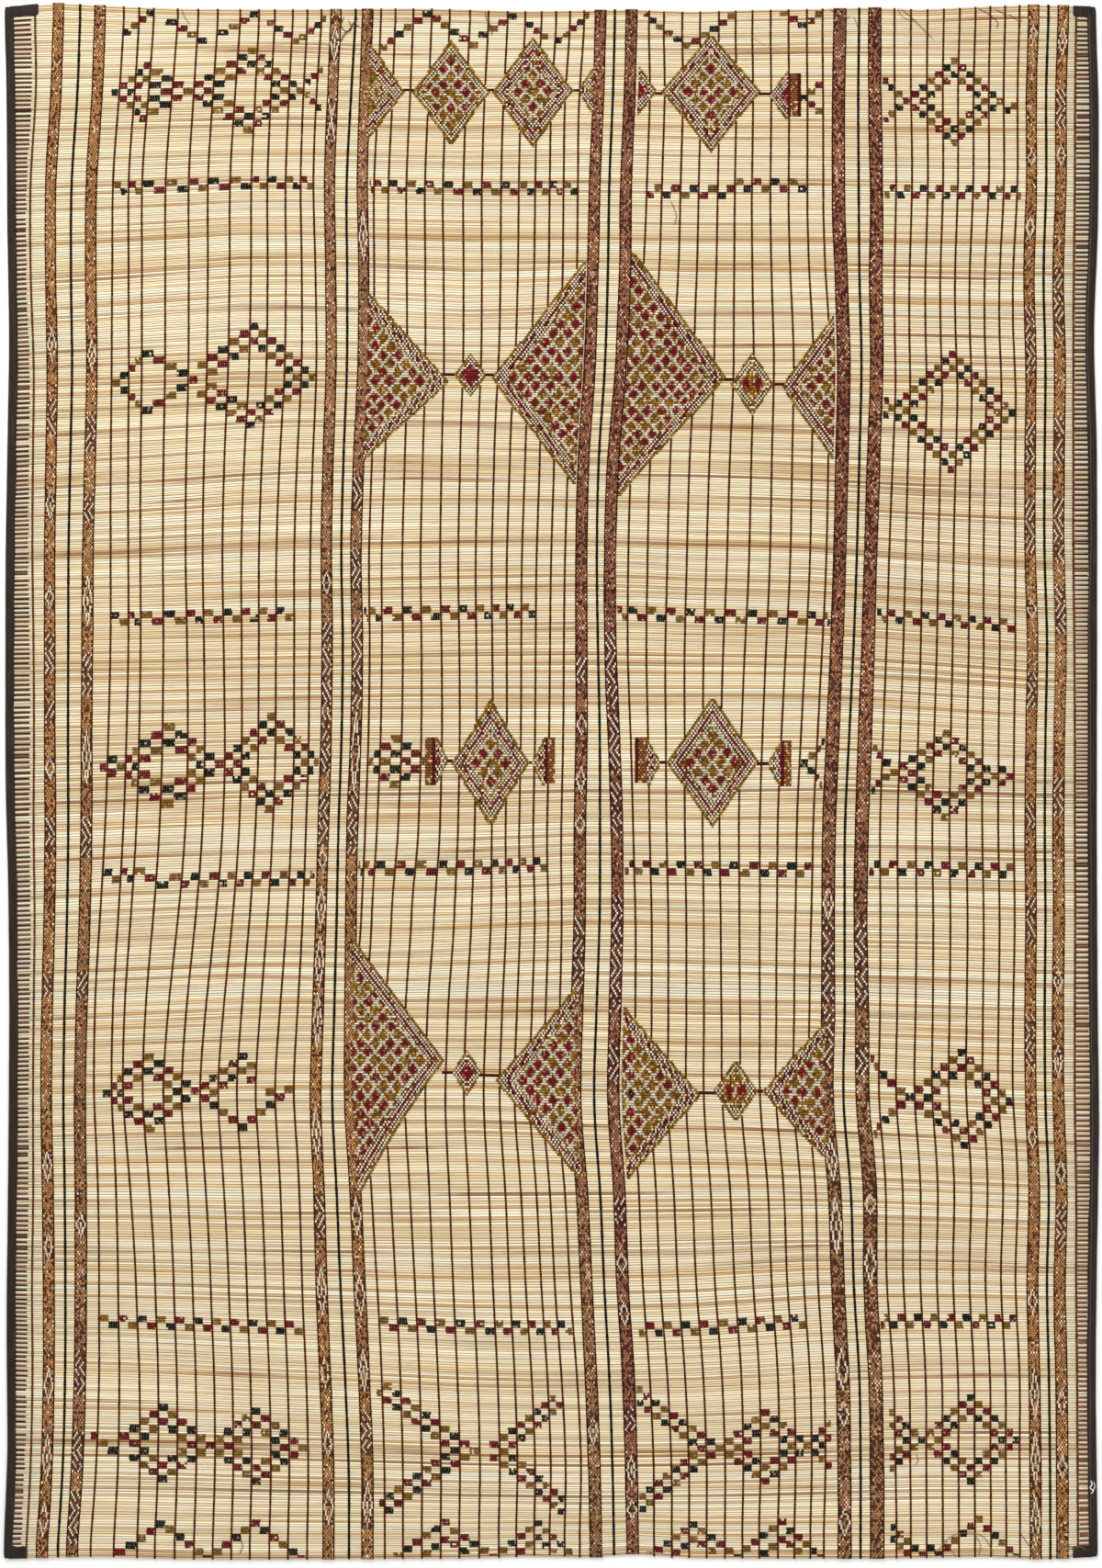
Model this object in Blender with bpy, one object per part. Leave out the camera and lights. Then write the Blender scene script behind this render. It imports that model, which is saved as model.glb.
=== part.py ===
"""Tuareg mat: thin reeds laid side by side and tied with rows of leather thongs,
its two long edges bound in folded leather that turns the corners.

The mat lies flat with its show face up.  +X runs along the reeds, +Y along the
mat's length, +Z up.  The origin is the middle of its footprint on the surface
it lies on.  Units are metres.

Three pieces:
  mat_body       the tied reeds, one flat sheet with thinner reed ends at both sides
  binding_left   leather folded over the left reed ends, a short return at each corner
  binding_right  the same on the right
"""
import math

import bpy
import bmesh

# ---------------------------------------------------------------- sizes
WIDTH = 2.073            # box of the finished mat across the reeds
LENGTH = 2.946           # box along the thongs
BODY_THICK = 0.0058      # a 4.2 mm reed with a 0.8 mm thong over and under it
BINDING_THICK = 0.0060   # folded leather over the reed ends
LEATHER = 0.0012         # one layer of the binding
GAP = 0.0003             # between pieces that touch
REED_END_THICK = BINDING_THICK - 2.0 * LEATHER - 2.0 * GAP
SIDE_STEP = 0.070        # spacing of outline corners along the long sides
END_STEP = 0.062         # and along the two ends

# How far each edge wanders inside the box.  station: distance from the middle
# of that edge, inset: distance inside the box side.
LEFT_EDGE = (
    # station, inset
    (+1.473, 0.0017), (+1.305, 0.0050), (+1.045, 0.0068), (+0.840, 0.0100),
    (+0.630, 0.0068), (+0.420, 0.0036), (+0.210, 0.0032), (+0.000, 0.0036),
    (-0.205, 0.0085), (-0.420, 0.0103), (-0.725, 0.0085), (-1.040, 0.0054),
    (-1.250, 0.0068), (-1.473, 0.0000),
)
RIGHT_EDGE = (
    # station, inset
    (+1.473, 0.0060), (+1.255, 0.0008), (+1.045, 0.0025), (+0.840, 0.0094),
    (+0.630, 0.0044), (+0.300, 0.0038), (+0.000, 0.0044), (-0.415, 0.0026),
    (-0.640, 0.0000), (-0.725, 0.0008), (-0.935, 0.0044), (-1.145, 0.0060),
    (-1.473, 0.0026),
)
TOP_EDGE = (
    # station, inset
    (-1.0365, 0.0068), (-0.940, 0.0000), (-0.870, 0.0035), (-0.715, 0.0104),
    (-0.480, 0.0120), (-0.245, 0.0104), (-0.090, 0.0155), (-0.010, 0.0157),
    (+0.147, 0.0122), (+0.225, 0.0172), (+0.380, 0.0139), (+0.540, 0.0104),
    (+0.616, 0.0087), (+0.695, 0.0122), (+0.850, 0.0052), (+0.930, 0.0035),
    (+1.0365, 0.0070),
)
BOTTOM_EDGE = (
    # station, inset
    (-1.0365, 0.0017), (-0.870, 0.0052), (-0.715, 0.0006), (-0.520, 0.0000),
    (-0.400, 0.0005), (-0.088, 0.0035), (-0.010, 0.0087), (+0.068, 0.0035),
    (+0.147, 0.0104), (+0.225, 0.0035), (+0.616, 0.0017), (+0.850, 0.0052),
    (+0.930, 0.0004), (+1.0365, 0.0050),
)

# The two bindings: width of the strip, and the length and depth of the short
# return that it makes along each end of the mat.
BINDINGS = {
    # side: width, top_length, top_depth, bottom_length, bottom_depth
    "left": dict(width=0.0170, top_length=0.0640, top_depth=0.0215,
                 bottom_length=0.0420, bottom_depth=0.0240),
    "right": dict(width=0.0172, top_length=0.0430, top_depth=0.0200,
                  bottom_length=0.0470, bottom_depth=0.0235),
}

COLOURS = {
    # node: colour, roughness
    "mat_body": ((0.72, 0.58, 0.36, 1.0), 0.55),
    "binding_left": ((0.035, 0.028, 0.024, 1.0), 0.60),
    "binding_right": ((0.035, 0.028, 0.024, 1.0), 0.60),
}


# ---------------------------------------------------------------- edge shapes
def slope_at(rows, i):
    """Slope of the edge at a row: level at the ends and at each high or low."""
    if i in (0, len(rows) - 1):
        return 0.0
    (xa, ya), (x, y), (xb, yb) = rows[i - 1], rows[i], rows[i + 1]
    return 0.0 if (yb - y) * (y - ya) <= 0.0 else (yb - ya) / (xb - xa)


def smooth_table(table, t):
    """Inset at station t, on a smooth curve through a (station, inset) table."""
    rows = sorted(table)
    t = min(max(t, rows[0][0]), rows[-1][0])
    for i in range(len(rows) - 1):
        (x0, y0), (x1, y1) = rows[i], rows[i + 1]
        if t <= x1:
            h = x1 - x0
            s = (t - x0) / h
            return ((1 + 2 * s) * (1 - s) ** 2 * y0
                    + s * (1 - s) ** 2 * h * slope_at(rows, i)
                    + s * s * (3 - 2 * s) * y1
                    + s * s * (s - 1) * h * slope_at(rows, i + 1))


def left_x(y, inset=0.0):
    return -WIDTH / 2 + smooth_table(LEFT_EDGE, y) + inset


def right_x(y, inset=0.0):
    return WIDTH / 2 - smooth_table(RIGHT_EDGE, y) - inset


def top_y(x, inset=0.0):
    return LENGTH / 2 - smooth_table(TOP_EDGE, x) - inset


def bottom_y(x, inset=0.0):
    return -LENGTH / 2 + smooth_table(BOTTOM_EDGE, x) + inset


def stations(table, a, b, step):
    """From a to b: evenly spaced values, and every row of the edge's table."""
    low, high = min(a, b), max(a, b)
    rows = [t for t, inset in sorted(table) if low + step / 3 < t < high - step / 3]
    marks = [low] + rows + [high]
    values = [low]
    for start, stop in zip(marks, marks[1:]):
        count = max(1, round((stop - start) / step))
        values += [start + (stop - start) * i / count for i in range(1, count + 1)]
    return values if a < b else values[::-1]


def along_end(edge, x_from, x_to, inset=0.0):
    table = TOP_EDGE if edge is top_y else BOTTOM_EDGE
    return [(x, edge(x, inset)) for x in stations(table, x_from, x_to, END_STEP)]


def along_side(edge, y_from, y_to, inset=0.0):
    table = LEFT_EDGE if edge is left_x else RIGHT_EDGE
    return [(edge(y, inset), y) for y in stations(table, y_from, y_to, SIDE_STEP)]


def full_outline(inset):
    """The whole mat's outline, drawn in from its edges by inset."""
    x_left, x_right = -WIDTH / 2 + inset, WIDTH / 2 - inset
    tl = (left_x(LENGTH / 2, inset), top_y(x_left, inset))
    tr = (right_x(LENGTH / 2, inset), top_y(x_right, inset))
    br = (right_x(-LENGTH / 2, inset), bottom_y(x_right, inset))
    bl = (left_x(-LENGTH / 2, inset), bottom_y(x_left, inset))
    points = along_end(top_y, tl[0], tr[0], inset)
    points += along_side(right_x, tr[1], br[1], inset)[1:]
    points += along_end(bottom_y, br[0], bl[0], inset)[1:]
    points += along_side(left_x, bl[1], tl[1], inset)[1:-1]
    return points


def core_outline():
    """The full-thickness reeds: the outline less the two bindings."""
    lf, rt = BINDINGS["left"], BINDINGS["right"]
    lw, rw = lf["width"] + GAP, rt["width"] + GAP
    half_l, half_w = LENGTH / 2, WIDTH / 2
    x1 = -half_w + lf["top_length"] + GAP
    x2 = half_w - rt["top_length"] - GAP
    x3 = half_w - rt["bottom_length"] - GAP
    x4 = -half_w + lf["bottom_length"] + GAP
    y_tr = top_y(x2) - rt["top_depth"] - GAP
    y_br = bottom_y(x3) + rt["bottom_depth"] + GAP
    y_bl = bottom_y(x4) + lf["bottom_depth"] + GAP
    y_tl = top_y(x1) - lf["top_depth"] - GAP
    points = along_end(top_y, x1, x2)
    points += [(x2, y_tr)]
    points += along_side(right_x, y_tr, y_br, rw)
    points += [(x3, y_br)]
    points += along_end(bottom_y, x3, x4)
    points += [(x4, y_bl)]
    points += along_side(left_x, y_bl, y_tl, lw)
    points += [(x1, y_tl)]
    return points


def binding_outline(side):
    """A long strip along one side, turned inward at both ends of the mat."""
    b = BINDINGS[side]
    half_l, half_w = LENGTH / 2, WIDTH / 2
    sign, edge = (-1.0, left_x) if side == "left" else (1.0, right_x)
    x_top = sign * (half_w - b["top_length"])
    x_bot = sign * (half_w - b["bottom_length"])
    corner_top = (edge(half_l), top_y(sign * half_w))
    corner_bot = (edge(-half_l), bottom_y(sign * half_w))
    y_top = top_y(x_top) - b["top_depth"]
    y_bot = bottom_y(x_bot) + b["bottom_depth"]
    points = [(x_top, top_y(x_top)), corner_top]
    points += along_side(edge, corner_top[1], corner_bot[1])[1:]
    points += [(x_bot, bottom_y(x_bot)), (x_bot, y_bot)]
    points += along_side(edge, y_bot, y_top, b["width"])
    points += [(x_top, y_top)]
    return points


# ---------------------------------------------------------------- modelling
def plate(name, outline, z_low, z_high, collection):
    """A flat plate of the given outline: a filled 2D curve, made a mesh."""
    curve = bpy.data.curves.new(name + "_outline", "CURVE")
    curve.dimensions = "2D"
    curve.fill_mode = "BOTH"
    curve.extrude = (z_high - z_low) / 2
    spline = curve.splines.new("POLY")
    spline.points.add(len(outline) - 1)
    for point, (x, y) in zip(spline.points, outline):
        point.co = (x, y, 0.0, 1.0)
    spline.use_cyclic_u = True
    guide = bpy.data.objects.new(name + "_outline", curve)
    guide.location = (0.0, 0.0, (z_low + z_high) / 2)
    bpy.context.scene.collection.objects.link(guide)
    bpy.context.view_layer.update()
    mesh = bpy.data.meshes.new_from_object(
        guide.evaluated_get(bpy.context.evaluated_depsgraph_get()))
    bm = bmesh.new()
    bm.from_mesh(mesh)
    bmesh.ops.remove_doubles(bm, verts=bm.verts, dist=0.00001)
    bmesh.ops.recalc_face_normals(bm, faces=bm.faces)
    bm.to_mesh(mesh)
    bm.free()
    mesh.name = name
    obj = bpy.data.objects.new(name, mesh)
    obj.matrix_world = guide.matrix_world.copy()
    collection.objects.link(obj)
    bpy.data.objects.remove(guide)
    return obj


def combine(obj, tool, operation):
    """Join or cut obj with a hidden helper shape."""
    tool.hide_render = True
    tool.display_type = "WIRE"
    mod = obj.modifiers.new(tool.name, "BOOLEAN")
    mod.operation = operation
    mod.solver = "EXACT"
    mod.object = tool
    # Flat faces that the join or cut left in slivers become whole again.
    weld = obj.modifiers.new("close_points", "WELD")
    weld.merge_threshold = 0.00005
    tidy = obj.modifiers.new("whole_faces", "DECIMATE")
    tidy.decimate_type = "DISSOLVE"
    tidy.angle_limit = math.radians(0.03)


def finish_material(obj):
    colour, roughness = COLOURS[obj.name]
    mat = bpy.data.materials.new(obj.name + "_mat")
    mat.use_nodes = True
    shader = mat.node_tree.nodes["Principled BSDF"]
    shader.inputs["Base Color"].default_value = colour
    shader.inputs["Roughness"].default_value = roughness
    shader.inputs["Metallic"].default_value = 0.0
    obj.data.materials.clear()
    obj.data.materials.append(mat)


def main():
    for obj in list(bpy.data.objects):
        bpy.data.objects.remove(obj)
    parts = bpy.data.collections.new("tuareg_mat")
    cutters = bpy.data.collections.new("cutters")
    bpy.context.scene.collection.children.link(parts)
    bpy.context.scene.collection.children.link(cutters)

    # The tied reeds.  Only the bare reed ends, thinner than the tied mat,
    # reach into the folded leather.
    body = plate("mat_body", core_outline(), 0.0, BODY_THICK, parts)
    end_low = LEATHER + GAP
    ends = plate("reed_ends", full_outline(LEATHER + GAP),
                 end_low, end_low + REED_END_THICK, cutters)
    combine(body, ends, "UNION")

    # Each binding is a strip folded over the reed ends: the space inside the
    # fold is cut 0.3 mm larger than the ends all round.
    fold = plate("fold_space", full_outline(LEATHER),
                 LEATHER, BINDING_THICK - LEATHER, cutters)
    for side in ("left", "right"):
        strip = plate("binding_" + side, binding_outline(side),
                      0.0, BINDING_THICK, parts)
        combine(strip, fold, "DIFFERENCE")

    for obj in parts.objects:
        finish_material(obj)


main()
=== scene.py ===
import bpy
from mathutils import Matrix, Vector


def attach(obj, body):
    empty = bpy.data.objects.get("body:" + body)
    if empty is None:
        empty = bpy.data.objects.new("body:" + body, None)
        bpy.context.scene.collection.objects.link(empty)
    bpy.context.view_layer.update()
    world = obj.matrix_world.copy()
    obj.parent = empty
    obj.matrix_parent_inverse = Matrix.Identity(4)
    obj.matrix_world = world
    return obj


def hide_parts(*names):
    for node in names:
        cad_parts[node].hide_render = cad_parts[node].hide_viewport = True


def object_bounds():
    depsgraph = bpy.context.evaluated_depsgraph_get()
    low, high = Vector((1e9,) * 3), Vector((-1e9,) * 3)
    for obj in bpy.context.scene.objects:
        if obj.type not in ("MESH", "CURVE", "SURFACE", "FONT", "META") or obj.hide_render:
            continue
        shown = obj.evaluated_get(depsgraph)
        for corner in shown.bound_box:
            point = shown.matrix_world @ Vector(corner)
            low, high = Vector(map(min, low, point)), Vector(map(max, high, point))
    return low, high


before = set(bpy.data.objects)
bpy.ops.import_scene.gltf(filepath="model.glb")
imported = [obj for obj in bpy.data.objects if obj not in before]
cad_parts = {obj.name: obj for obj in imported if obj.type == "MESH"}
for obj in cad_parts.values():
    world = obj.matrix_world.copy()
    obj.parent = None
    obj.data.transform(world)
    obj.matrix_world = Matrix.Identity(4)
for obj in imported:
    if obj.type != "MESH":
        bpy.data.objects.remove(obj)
CAD_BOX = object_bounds()

"""Looks of the tuareg mat.

Every reed, leather thong, woven band, wrapped square, fine diamond, comb bar and
binding is a mesh of its own kind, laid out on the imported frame.  Tables are in
millimetres from the middle of the mat, +x right and +y towards its top end.
"""
import math

import bpy
import numpy as np

MM = 0.001
LOW, HIGH = CAD_BOX
WIDTH = HIGH.x - LOW.x
LENGTH = HIGH.y - LOW.y
MID_X = 0.5 * (LOW.x + HIGH.x)
MID_Y = 0.5 * (LOW.y + HIGH.y)
TOP_Z = HIGH.z
RNG = np.random.default_rng(20417)

# ------------------------------------------------------------------ outline
# How far each edge wanders inside the box: station, inset (metres), as in the CAD.
LEFT_EDGE = (
    (+1.473, 0.0017), (+1.305, 0.0050), (+1.045, 0.0068), (+0.840, 0.0100),
    (+0.630, 0.0068), (+0.420, 0.0036), (+0.210, 0.0032), (+0.000, 0.0036),
    (-0.205, 0.0085), (-0.420, 0.0103), (-0.725, 0.0085), (-1.040, 0.0054),
    (-1.250, 0.0068), (-1.473, 0.0000),
)
RIGHT_EDGE = (
    (+1.473, 0.0060), (+1.255, 0.0008), (+1.045, 0.0025), (+0.840, 0.0094),
    (+0.630, 0.0044), (+0.300, 0.0038), (+0.000, 0.0044), (-0.415, 0.0026),
    (-0.640, 0.0000), (-0.725, 0.0008), (-0.935, 0.0044), (-1.145, 0.0060),
    (-1.473, 0.0026),
)
TOP_EDGE = (
    (-1.0365, 0.0068), (-0.940, 0.0000), (-0.870, 0.0035), (-0.715, 0.0104),
    (-0.480, 0.0120), (-0.245, 0.0104), (-0.090, 0.0155), (-0.010, 0.0157),
    (+0.147, 0.0122), (+0.225, 0.0172), (+0.380, 0.0139), (+0.540, 0.0104),
    (+0.616, 0.0087), (+0.695, 0.0122), (+0.850, 0.0052), (+0.930, 0.0035),
    (+1.0365, 0.0070),
)
BOTTOM_EDGE = (
    (-1.0365, 0.0017), (-0.870, 0.0052), (-0.715, 0.0006), (-0.520, 0.0000),
    (-0.400, 0.0005), (-0.088, 0.0035), (-0.010, 0.0087), (+0.068, 0.0035),
    (+0.147, 0.0104), (+0.225, 0.0035), (+0.616, 0.0017), (+0.850, 0.0052),
    (+0.930, 0.0004), (+1.0365, 0.0050),
)


def hermite(stations, values, slopes, at):
    """Cubic through (stations, values) with the given slopes; values may be rows."""
    s = np.asarray(stations, float)
    v = np.asarray(values, float)
    m = np.asarray(slopes, float)
    a = np.clip(np.asarray(at, float), s[0], s[-1])
    k = np.clip(np.searchsorted(s, a, side="right") - 1, 0, len(s) - 2)
    h = s[k + 1] - s[k]
    t = (a - s[k]) / h
    extra = (1,) * (v.ndim - 1)
    t = t.reshape(t.shape + extra)
    h = h.reshape(h.shape + extra)
    return ((1 + 2 * t) * (1 - t) ** 2 * v[k] + t * (1 - t) ** 2 * h * m[k]
            + t * t * (3 - 2 * t) * v[k + 1] + t * t * (t - 1) * h * m[k + 1])


def smooth_through(stations, values, at):
    """Smooth curve through a table, stations in any order."""
    order = np.argsort(stations)
    s = np.asarray(stations, float)[order]
    v = np.asarray(values, float)[order]
    m = np.zeros_like(v)
    m[1:-1] = ((v[2:] - v[:-2]).T / (s[2:] - s[:-2])).T
    m[0] = (v[1] - v[0]) / (s[1] - s[0])
    m[-1] = (v[-1] - v[-2]) / (s[-1] - s[-2])
    return hermite(s, v, m, at)


def edge_inset(table, at):
    """Inset of one edge, level at its ends and at each high or low, as in the CAD."""
    rows = sorted(table)
    s = [r[0] for r in rows]
    v = [r[1] for r in rows]
    m = [0.0] * len(rows)
    for i in range(1, len(rows) - 1):
        if (v[i + 1] - v[i]) * (v[i] - v[i - 1]) > 0.0:
            m[i] = (v[i + 1] - v[i - 1]) / (s[i + 1] - s[i - 1])
    return hermite(s, v, m, at)


def left_x(y):
    return MID_X - WIDTH / 2 + edge_inset(LEFT_EDGE, y)


def right_x(y):
    return MID_X + WIDTH / 2 - edge_inset(RIGHT_EDGE, y)


def top_y(x):
    return MID_Y + LENGTH / 2 - edge_inset(TOP_EDGE, x)


def bottom_y(x):
    return MID_Y - LENGTH / 2 + edge_inset(BOTTOM_EDGE, x)


# -------------------------------------------------------------------- reeds
# Pitch of the reeds down the mat: y (m), pitch (mm).
PITCH = (
    (+1.470, 4.16), (+1.350, 4.18), (+1.080, 4.38), (+0.750, 4.40), (+0.480, 4.42),
    (+0.220, 4.56), (-0.100, 4.68), (-0.450, 4.66), (-0.800, 4.70), (-1.100, 4.42),
    (-1.470, 4.40),
)
REED_Z = 0.0030          # height of a reed's middle
REED_HALF_Z = 0.00200    # half its height

# Sideways slant of the reeds: how far they rise (mm) at each x, row by row.
SWAY_X = (-0.974, -0.765, -0.557, -0.348, -0.140, 0.069, 0.278, 0.486, 0.695, 0.903)
SWAY = (
    # y (m), rise (mm) at each SWAY_X
    (+1.374, (-1.7, +0.9, +3.6, -2.4, -1.9, -0.3, -1.9, +0.7, +1.2, +1.7)),
    (+1.217, (-5.8, -1.3, +4.1, +3.2, +0.1, +5.5, +1.3, +0.4, -2.7, -4.8)),
    (+1.061, (-8.8, +0.2, +11.4, +7.4, +2.4, +1.7, -1.2, -1.9, -4.7, -6.5)),
    (+0.905, (-16.1, -1.9, +12.2, +8.0, -0.5, +7.2, +0.8, +0.9, -3.2, -7.4)),
    (+0.748, (-9.6, -2.2, +6.3, +5.0, +2.8, +1.5, +2.5, +2.4, -2.1, -6.5)),
    (+0.592, (-17.9, -5.3, +9.4, +14.4, +12.9, +8.2, +5.7, -1.2, -10.2, -16.0)),
    (+0.435, (-12.2, -5.3, +5.9, +10.7, +14.3, +15.8, +7.7, +2.7, -11.9, -27.7)),
    (+0.279, (-8.1, -4.4, +1.3, +6.0, +10.7, +14.3, +8.2, +4.3, -8.3, -24.1)),
    (+0.123, (-7.8, -2.5, +2.8, +4.9, +5.9, +4.7, +5.7, +6.7, -3.1, -17.2)),
    (-0.034, (-17.8, -9.8, -3.9, -0.1, +2.5, +7.4, +5.7, +9.5, +5.7, +0.8)),
    (-0.190, (-16.6, -7.0, -1.7, -0.8, +1.2, +10.8, +8.5, +5.2, +2.9, -2.6)),
    (-0.347, (-11.6, -4.6, +2.5, -0.2, +4.7, +11.7, +8.0, +2.1, -2.8, -9.7)),
    (-0.503, (-6.5, +1.2, +7.8, +9.1, +7.1, +6.2, +1.0, +0.1, -9.4, -16.8)),
    (-0.660, (+2.6, +7.8, +10.9, +10.6, +11.5, +3.8, +0.3, -6.3, -15.2, -26.1)),
    (-0.816, (+2.9, +2.3, -1.5, -2.1, -1.6, +1.0, +3.6, +5.2, -0.8, -8.9)),
    (-0.972, (+9.4, +6.3, -0.1, -5.3, -11.7, -11.6, -7.2, +5.9, +9.2, +5.0)),
    (-1.129, (+20.0, +14.4, +4.6, -3.1, -13.0, -15.3, -13.3, -2.6, +3.7, +4.6)),
    (-1.285, (+10.4, +8.9, +3.2, -1.4, -7.2, -9.7, -7.8, -2.8, +3.3, +3.0)),
)


def reed_rows():
    """Nominal y of each reed's middle, from the top end down."""
    stations = [p[0] for p in PITCH]
    pitches = [p[1] * MM for p in PITCH]
    top = MID_Y + LENGTH / 2 - 0.0105
    bottom = MID_Y - LENGTH / 2 + 0.0060
    rows = [top]
    wander = 0.0
    while rows[-1] > bottom:
        wander = 0.6 * wander + 0.035 * RNG.standard_normal()
        wander = min(max(wander, -0.12), 0.12)
        step = float(smooth_through(stations, pitches, rows[-1])) * (1.0 + wander)
        rows.append(rows[-1] - step)
    rows = np.array(rows)
    return top + (rows - top) * (top - bottom) / (top - rows[-1])


ROW_Y = reed_rows()
REEDS = len(ROW_Y)
ROW_PITCH = -np.gradient(ROW_Y)

_sway_rows = np.array([r[0] for r in SWAY])
_sway_values = np.array([r[1] for r in SWAY]) * MM


def reed_y(row, x):
    """Height y of reed row (may be fractional) at x: follows both ends' outlines."""
    row = np.asarray(row, float)
    x = np.asarray(x, float)
    y0 = np.interp(row, np.arange(REEDS), ROW_Y)
    grid_x = np.array(SWAY_X)
    flat_y, flat_x = np.broadcast_arrays(y0, x)
    shape = flat_y.shape
    flat_y = flat_y.ravel()
    flat_x = flat_x.ravel()
    by_row = smooth_through(_sway_rows, _sway_values, flat_y)          # n x 10
    k = np.clip(np.searchsorted(grid_x, flat_x, side="right") - 1, 0, len(grid_x) - 2)
    h = grid_x[1:] - grid_x[:-1]
    t = np.clip((flat_x - grid_x[k]) / h[k], -0.3, 1.3)
    n = np.arange(len(flat_x))
    last = len(grid_x) - 1
    va, vb = by_row[n, k], by_row[n, k + 1]
    ma = np.where(k > 0, (vb - by_row[n, np.maximum(k - 1, 0)]) / 2, vb - va)
    mb = np.where(k + 1 < last, (by_row[n, np.minimum(k + 2, last)] - va) / 2, vb - va)
    inside = np.clip(t, 0, 1)
    sway = ((1 + 2 * inside) * (1 - inside) ** 2 * va + inside * (1 - inside) ** 2 * ma
            + inside ** 2 * (3 - 2 * inside) * vb + inside ** 2 * (inside - 1) * mb)
    sway = sway + np.where(t > 1, (t - 1) * mb, 0) + np.where(t < 0, t * ma, 0)
    top_gap = (MID_Y + LENGTH / 2) - flat_y
    low_gap = flat_y - (MID_Y - LENGTH / 2)
    at_top = top_y(flat_x) - 0.0023 - ROW_Y[0]
    at_bottom = bottom_y(flat_x) + 0.0023 - ROW_Y[-1]
    w_top = np.clip(1 - (top_gap - 0.010) / 0.085, 0, 1)
    w_low = np.clip(1 - (low_gap - 0.006) / 0.150, 0, 1)
    w_top = w_top * w_top * (3 - 2 * w_top)
    w_low = w_low * w_low * (3 - 2 * w_low)
    y = flat_y + sway * (1 - w_top) * (1 - w_low) + at_top * w_top + at_bottom * w_low
    return y.reshape(shape)


def row_at(x, y):
    """The reed whose middle is nearest to (x, y)."""
    return int(np.argmin(np.abs(reed_y(np.arange(REEDS), x) - y)))


# -------------------------------------------------------------------- lanes
# Lines that run down the mat across the reeds: x (mm) at each LANE_Y (mm).
LANE_Y = (1443, 1304, 1131, 957, 783, 609, 435, 262, 88, -86, -260, -434, -607, -781, -955,
          -1129, -1303, -1442)
LANES = {
    "thin_left": (-977.7, -976.5, -986.4, -986.1, -980.5, -981.9, -982.9, -980.8, -980.0, -980.5,
        -978.9, -980.5, -981.7, -981.5, -983.6, -982.8, -986.7, -994.2),
    "pair_a": (-892.5, -897.6, -908.5, -909.8, -907.8, -911.1, -914.4, -915.0, -915.5, -915.0,
        -917.4, -922.1, -924.2, -921.7, -920.5, -921.1, -925.7, -934.4),
    "pair_b": (-371.1, -379.3, -388.0, -387.3, -387.7, -394.1, -398.1, -395.5, -397.7, -403.5,
        -407.1, -411.6, -415.3, -407.0, -399.8, -391.1, -384.2, -383.7),
    "pair_c": (119.5, 116.0, 109.1, 106.1, 100.4, 89.1, 85.4, 87.3, 90.8, 91.3, 90.6, 84.7, 80.4,
        91.7, 99.3, 109.1, 115.1, 117.7),
    "pair_d": (581.8, 580.1, 580.8, 582.3, 586.1, 582.0, 577.6, 571.4, 563.0, 555.0, 554.2,
        554.3, 552.4, 566.2, 571.7, 582.1, 584.4, 584.4),
    "pair_e": (940.0, 935.7, 935.7, 930.8, 934.3, 932.7, 932.5, 937.2, 934.4, 933.0, 934.3,
        932.9, 934.3, 940.5, 937.2, 941.0, 943.0, 943.6),
    "thin_right": (992.0, 990.2, 989.4, 987.6, 986.7, 986.7, 986.7, 988.5, 989.4, 989.4, 990.2,
        989.4, 989.4, 992.0, 992.0, 993.7, 994.6, 995.4),
}

# The ten woven bands: which line each follows, and its distance from it (mm).
OUTER_Y = (1374, 435, -1372)
INNER_Y = (1426, 1078, 957, 435, 192, -86, -260, -694, -955, -1094, -1390)
BANDS = {
    1: ("pair_a", OUTER_Y, (-40.3, -35.1, -29.5)),
    2: ("pair_a", OUTER_Y, (+38.2, +37.5, +27.5)),
    3: ("pair_b", INNER_Y, (-36.5, -31.1, -30.2, -27.8, -28.9, -28.0, -29.2, -31.6, -35.1, -36.7, -38.1)),
    4: ("pair_b", INNER_Y, (+23.5, +31.3, +32.3, +28.3, +28.2, +26.8, +27.8, +35.6, +37.0, +36.7, +35.6)),
    5: ("pair_c", INNER_Y, (-26.4, -27.1, -27.8, -28.5, -31.6, -37.2, -37.2, -34.4, -32.8, -34.1, -33.4)),
    6: ("pair_c", INNER_Y, (+32.2, +32.5, +33.4, +25.7, +24.9, +32.5, +34.1, +37.4, +35.6, +36.7, +36.0)),
    7: ("pair_d", INNER_Y, (-35.6, -37.4, -33.7, -31.6, -30.9, -29.5, -30.4, -30.4, -29.4, -30.9, -29.4)),
    8: ("pair_d", INNER_Y, (+30.4, +34.4, +31.6, +26.8, +29.0, +32.7, +30.8, +37.9, +32.2, +30.9, +32.2)),
    9: ("pair_e", OUTER_Y, (-27.3, -26.6, -26.9)),
    10: ("pair_e", OUTER_Y, (+28.9, +27.6, +23.8)),
}
BAND_HALF = {1: 11.3, 2: 11.6, 3: 11.2, 4: 11.4, 5: 11.9, 6: 12.0, 7: 13.2, 8: 13.5, 9: 11.3, 10: 11.7}

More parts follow.
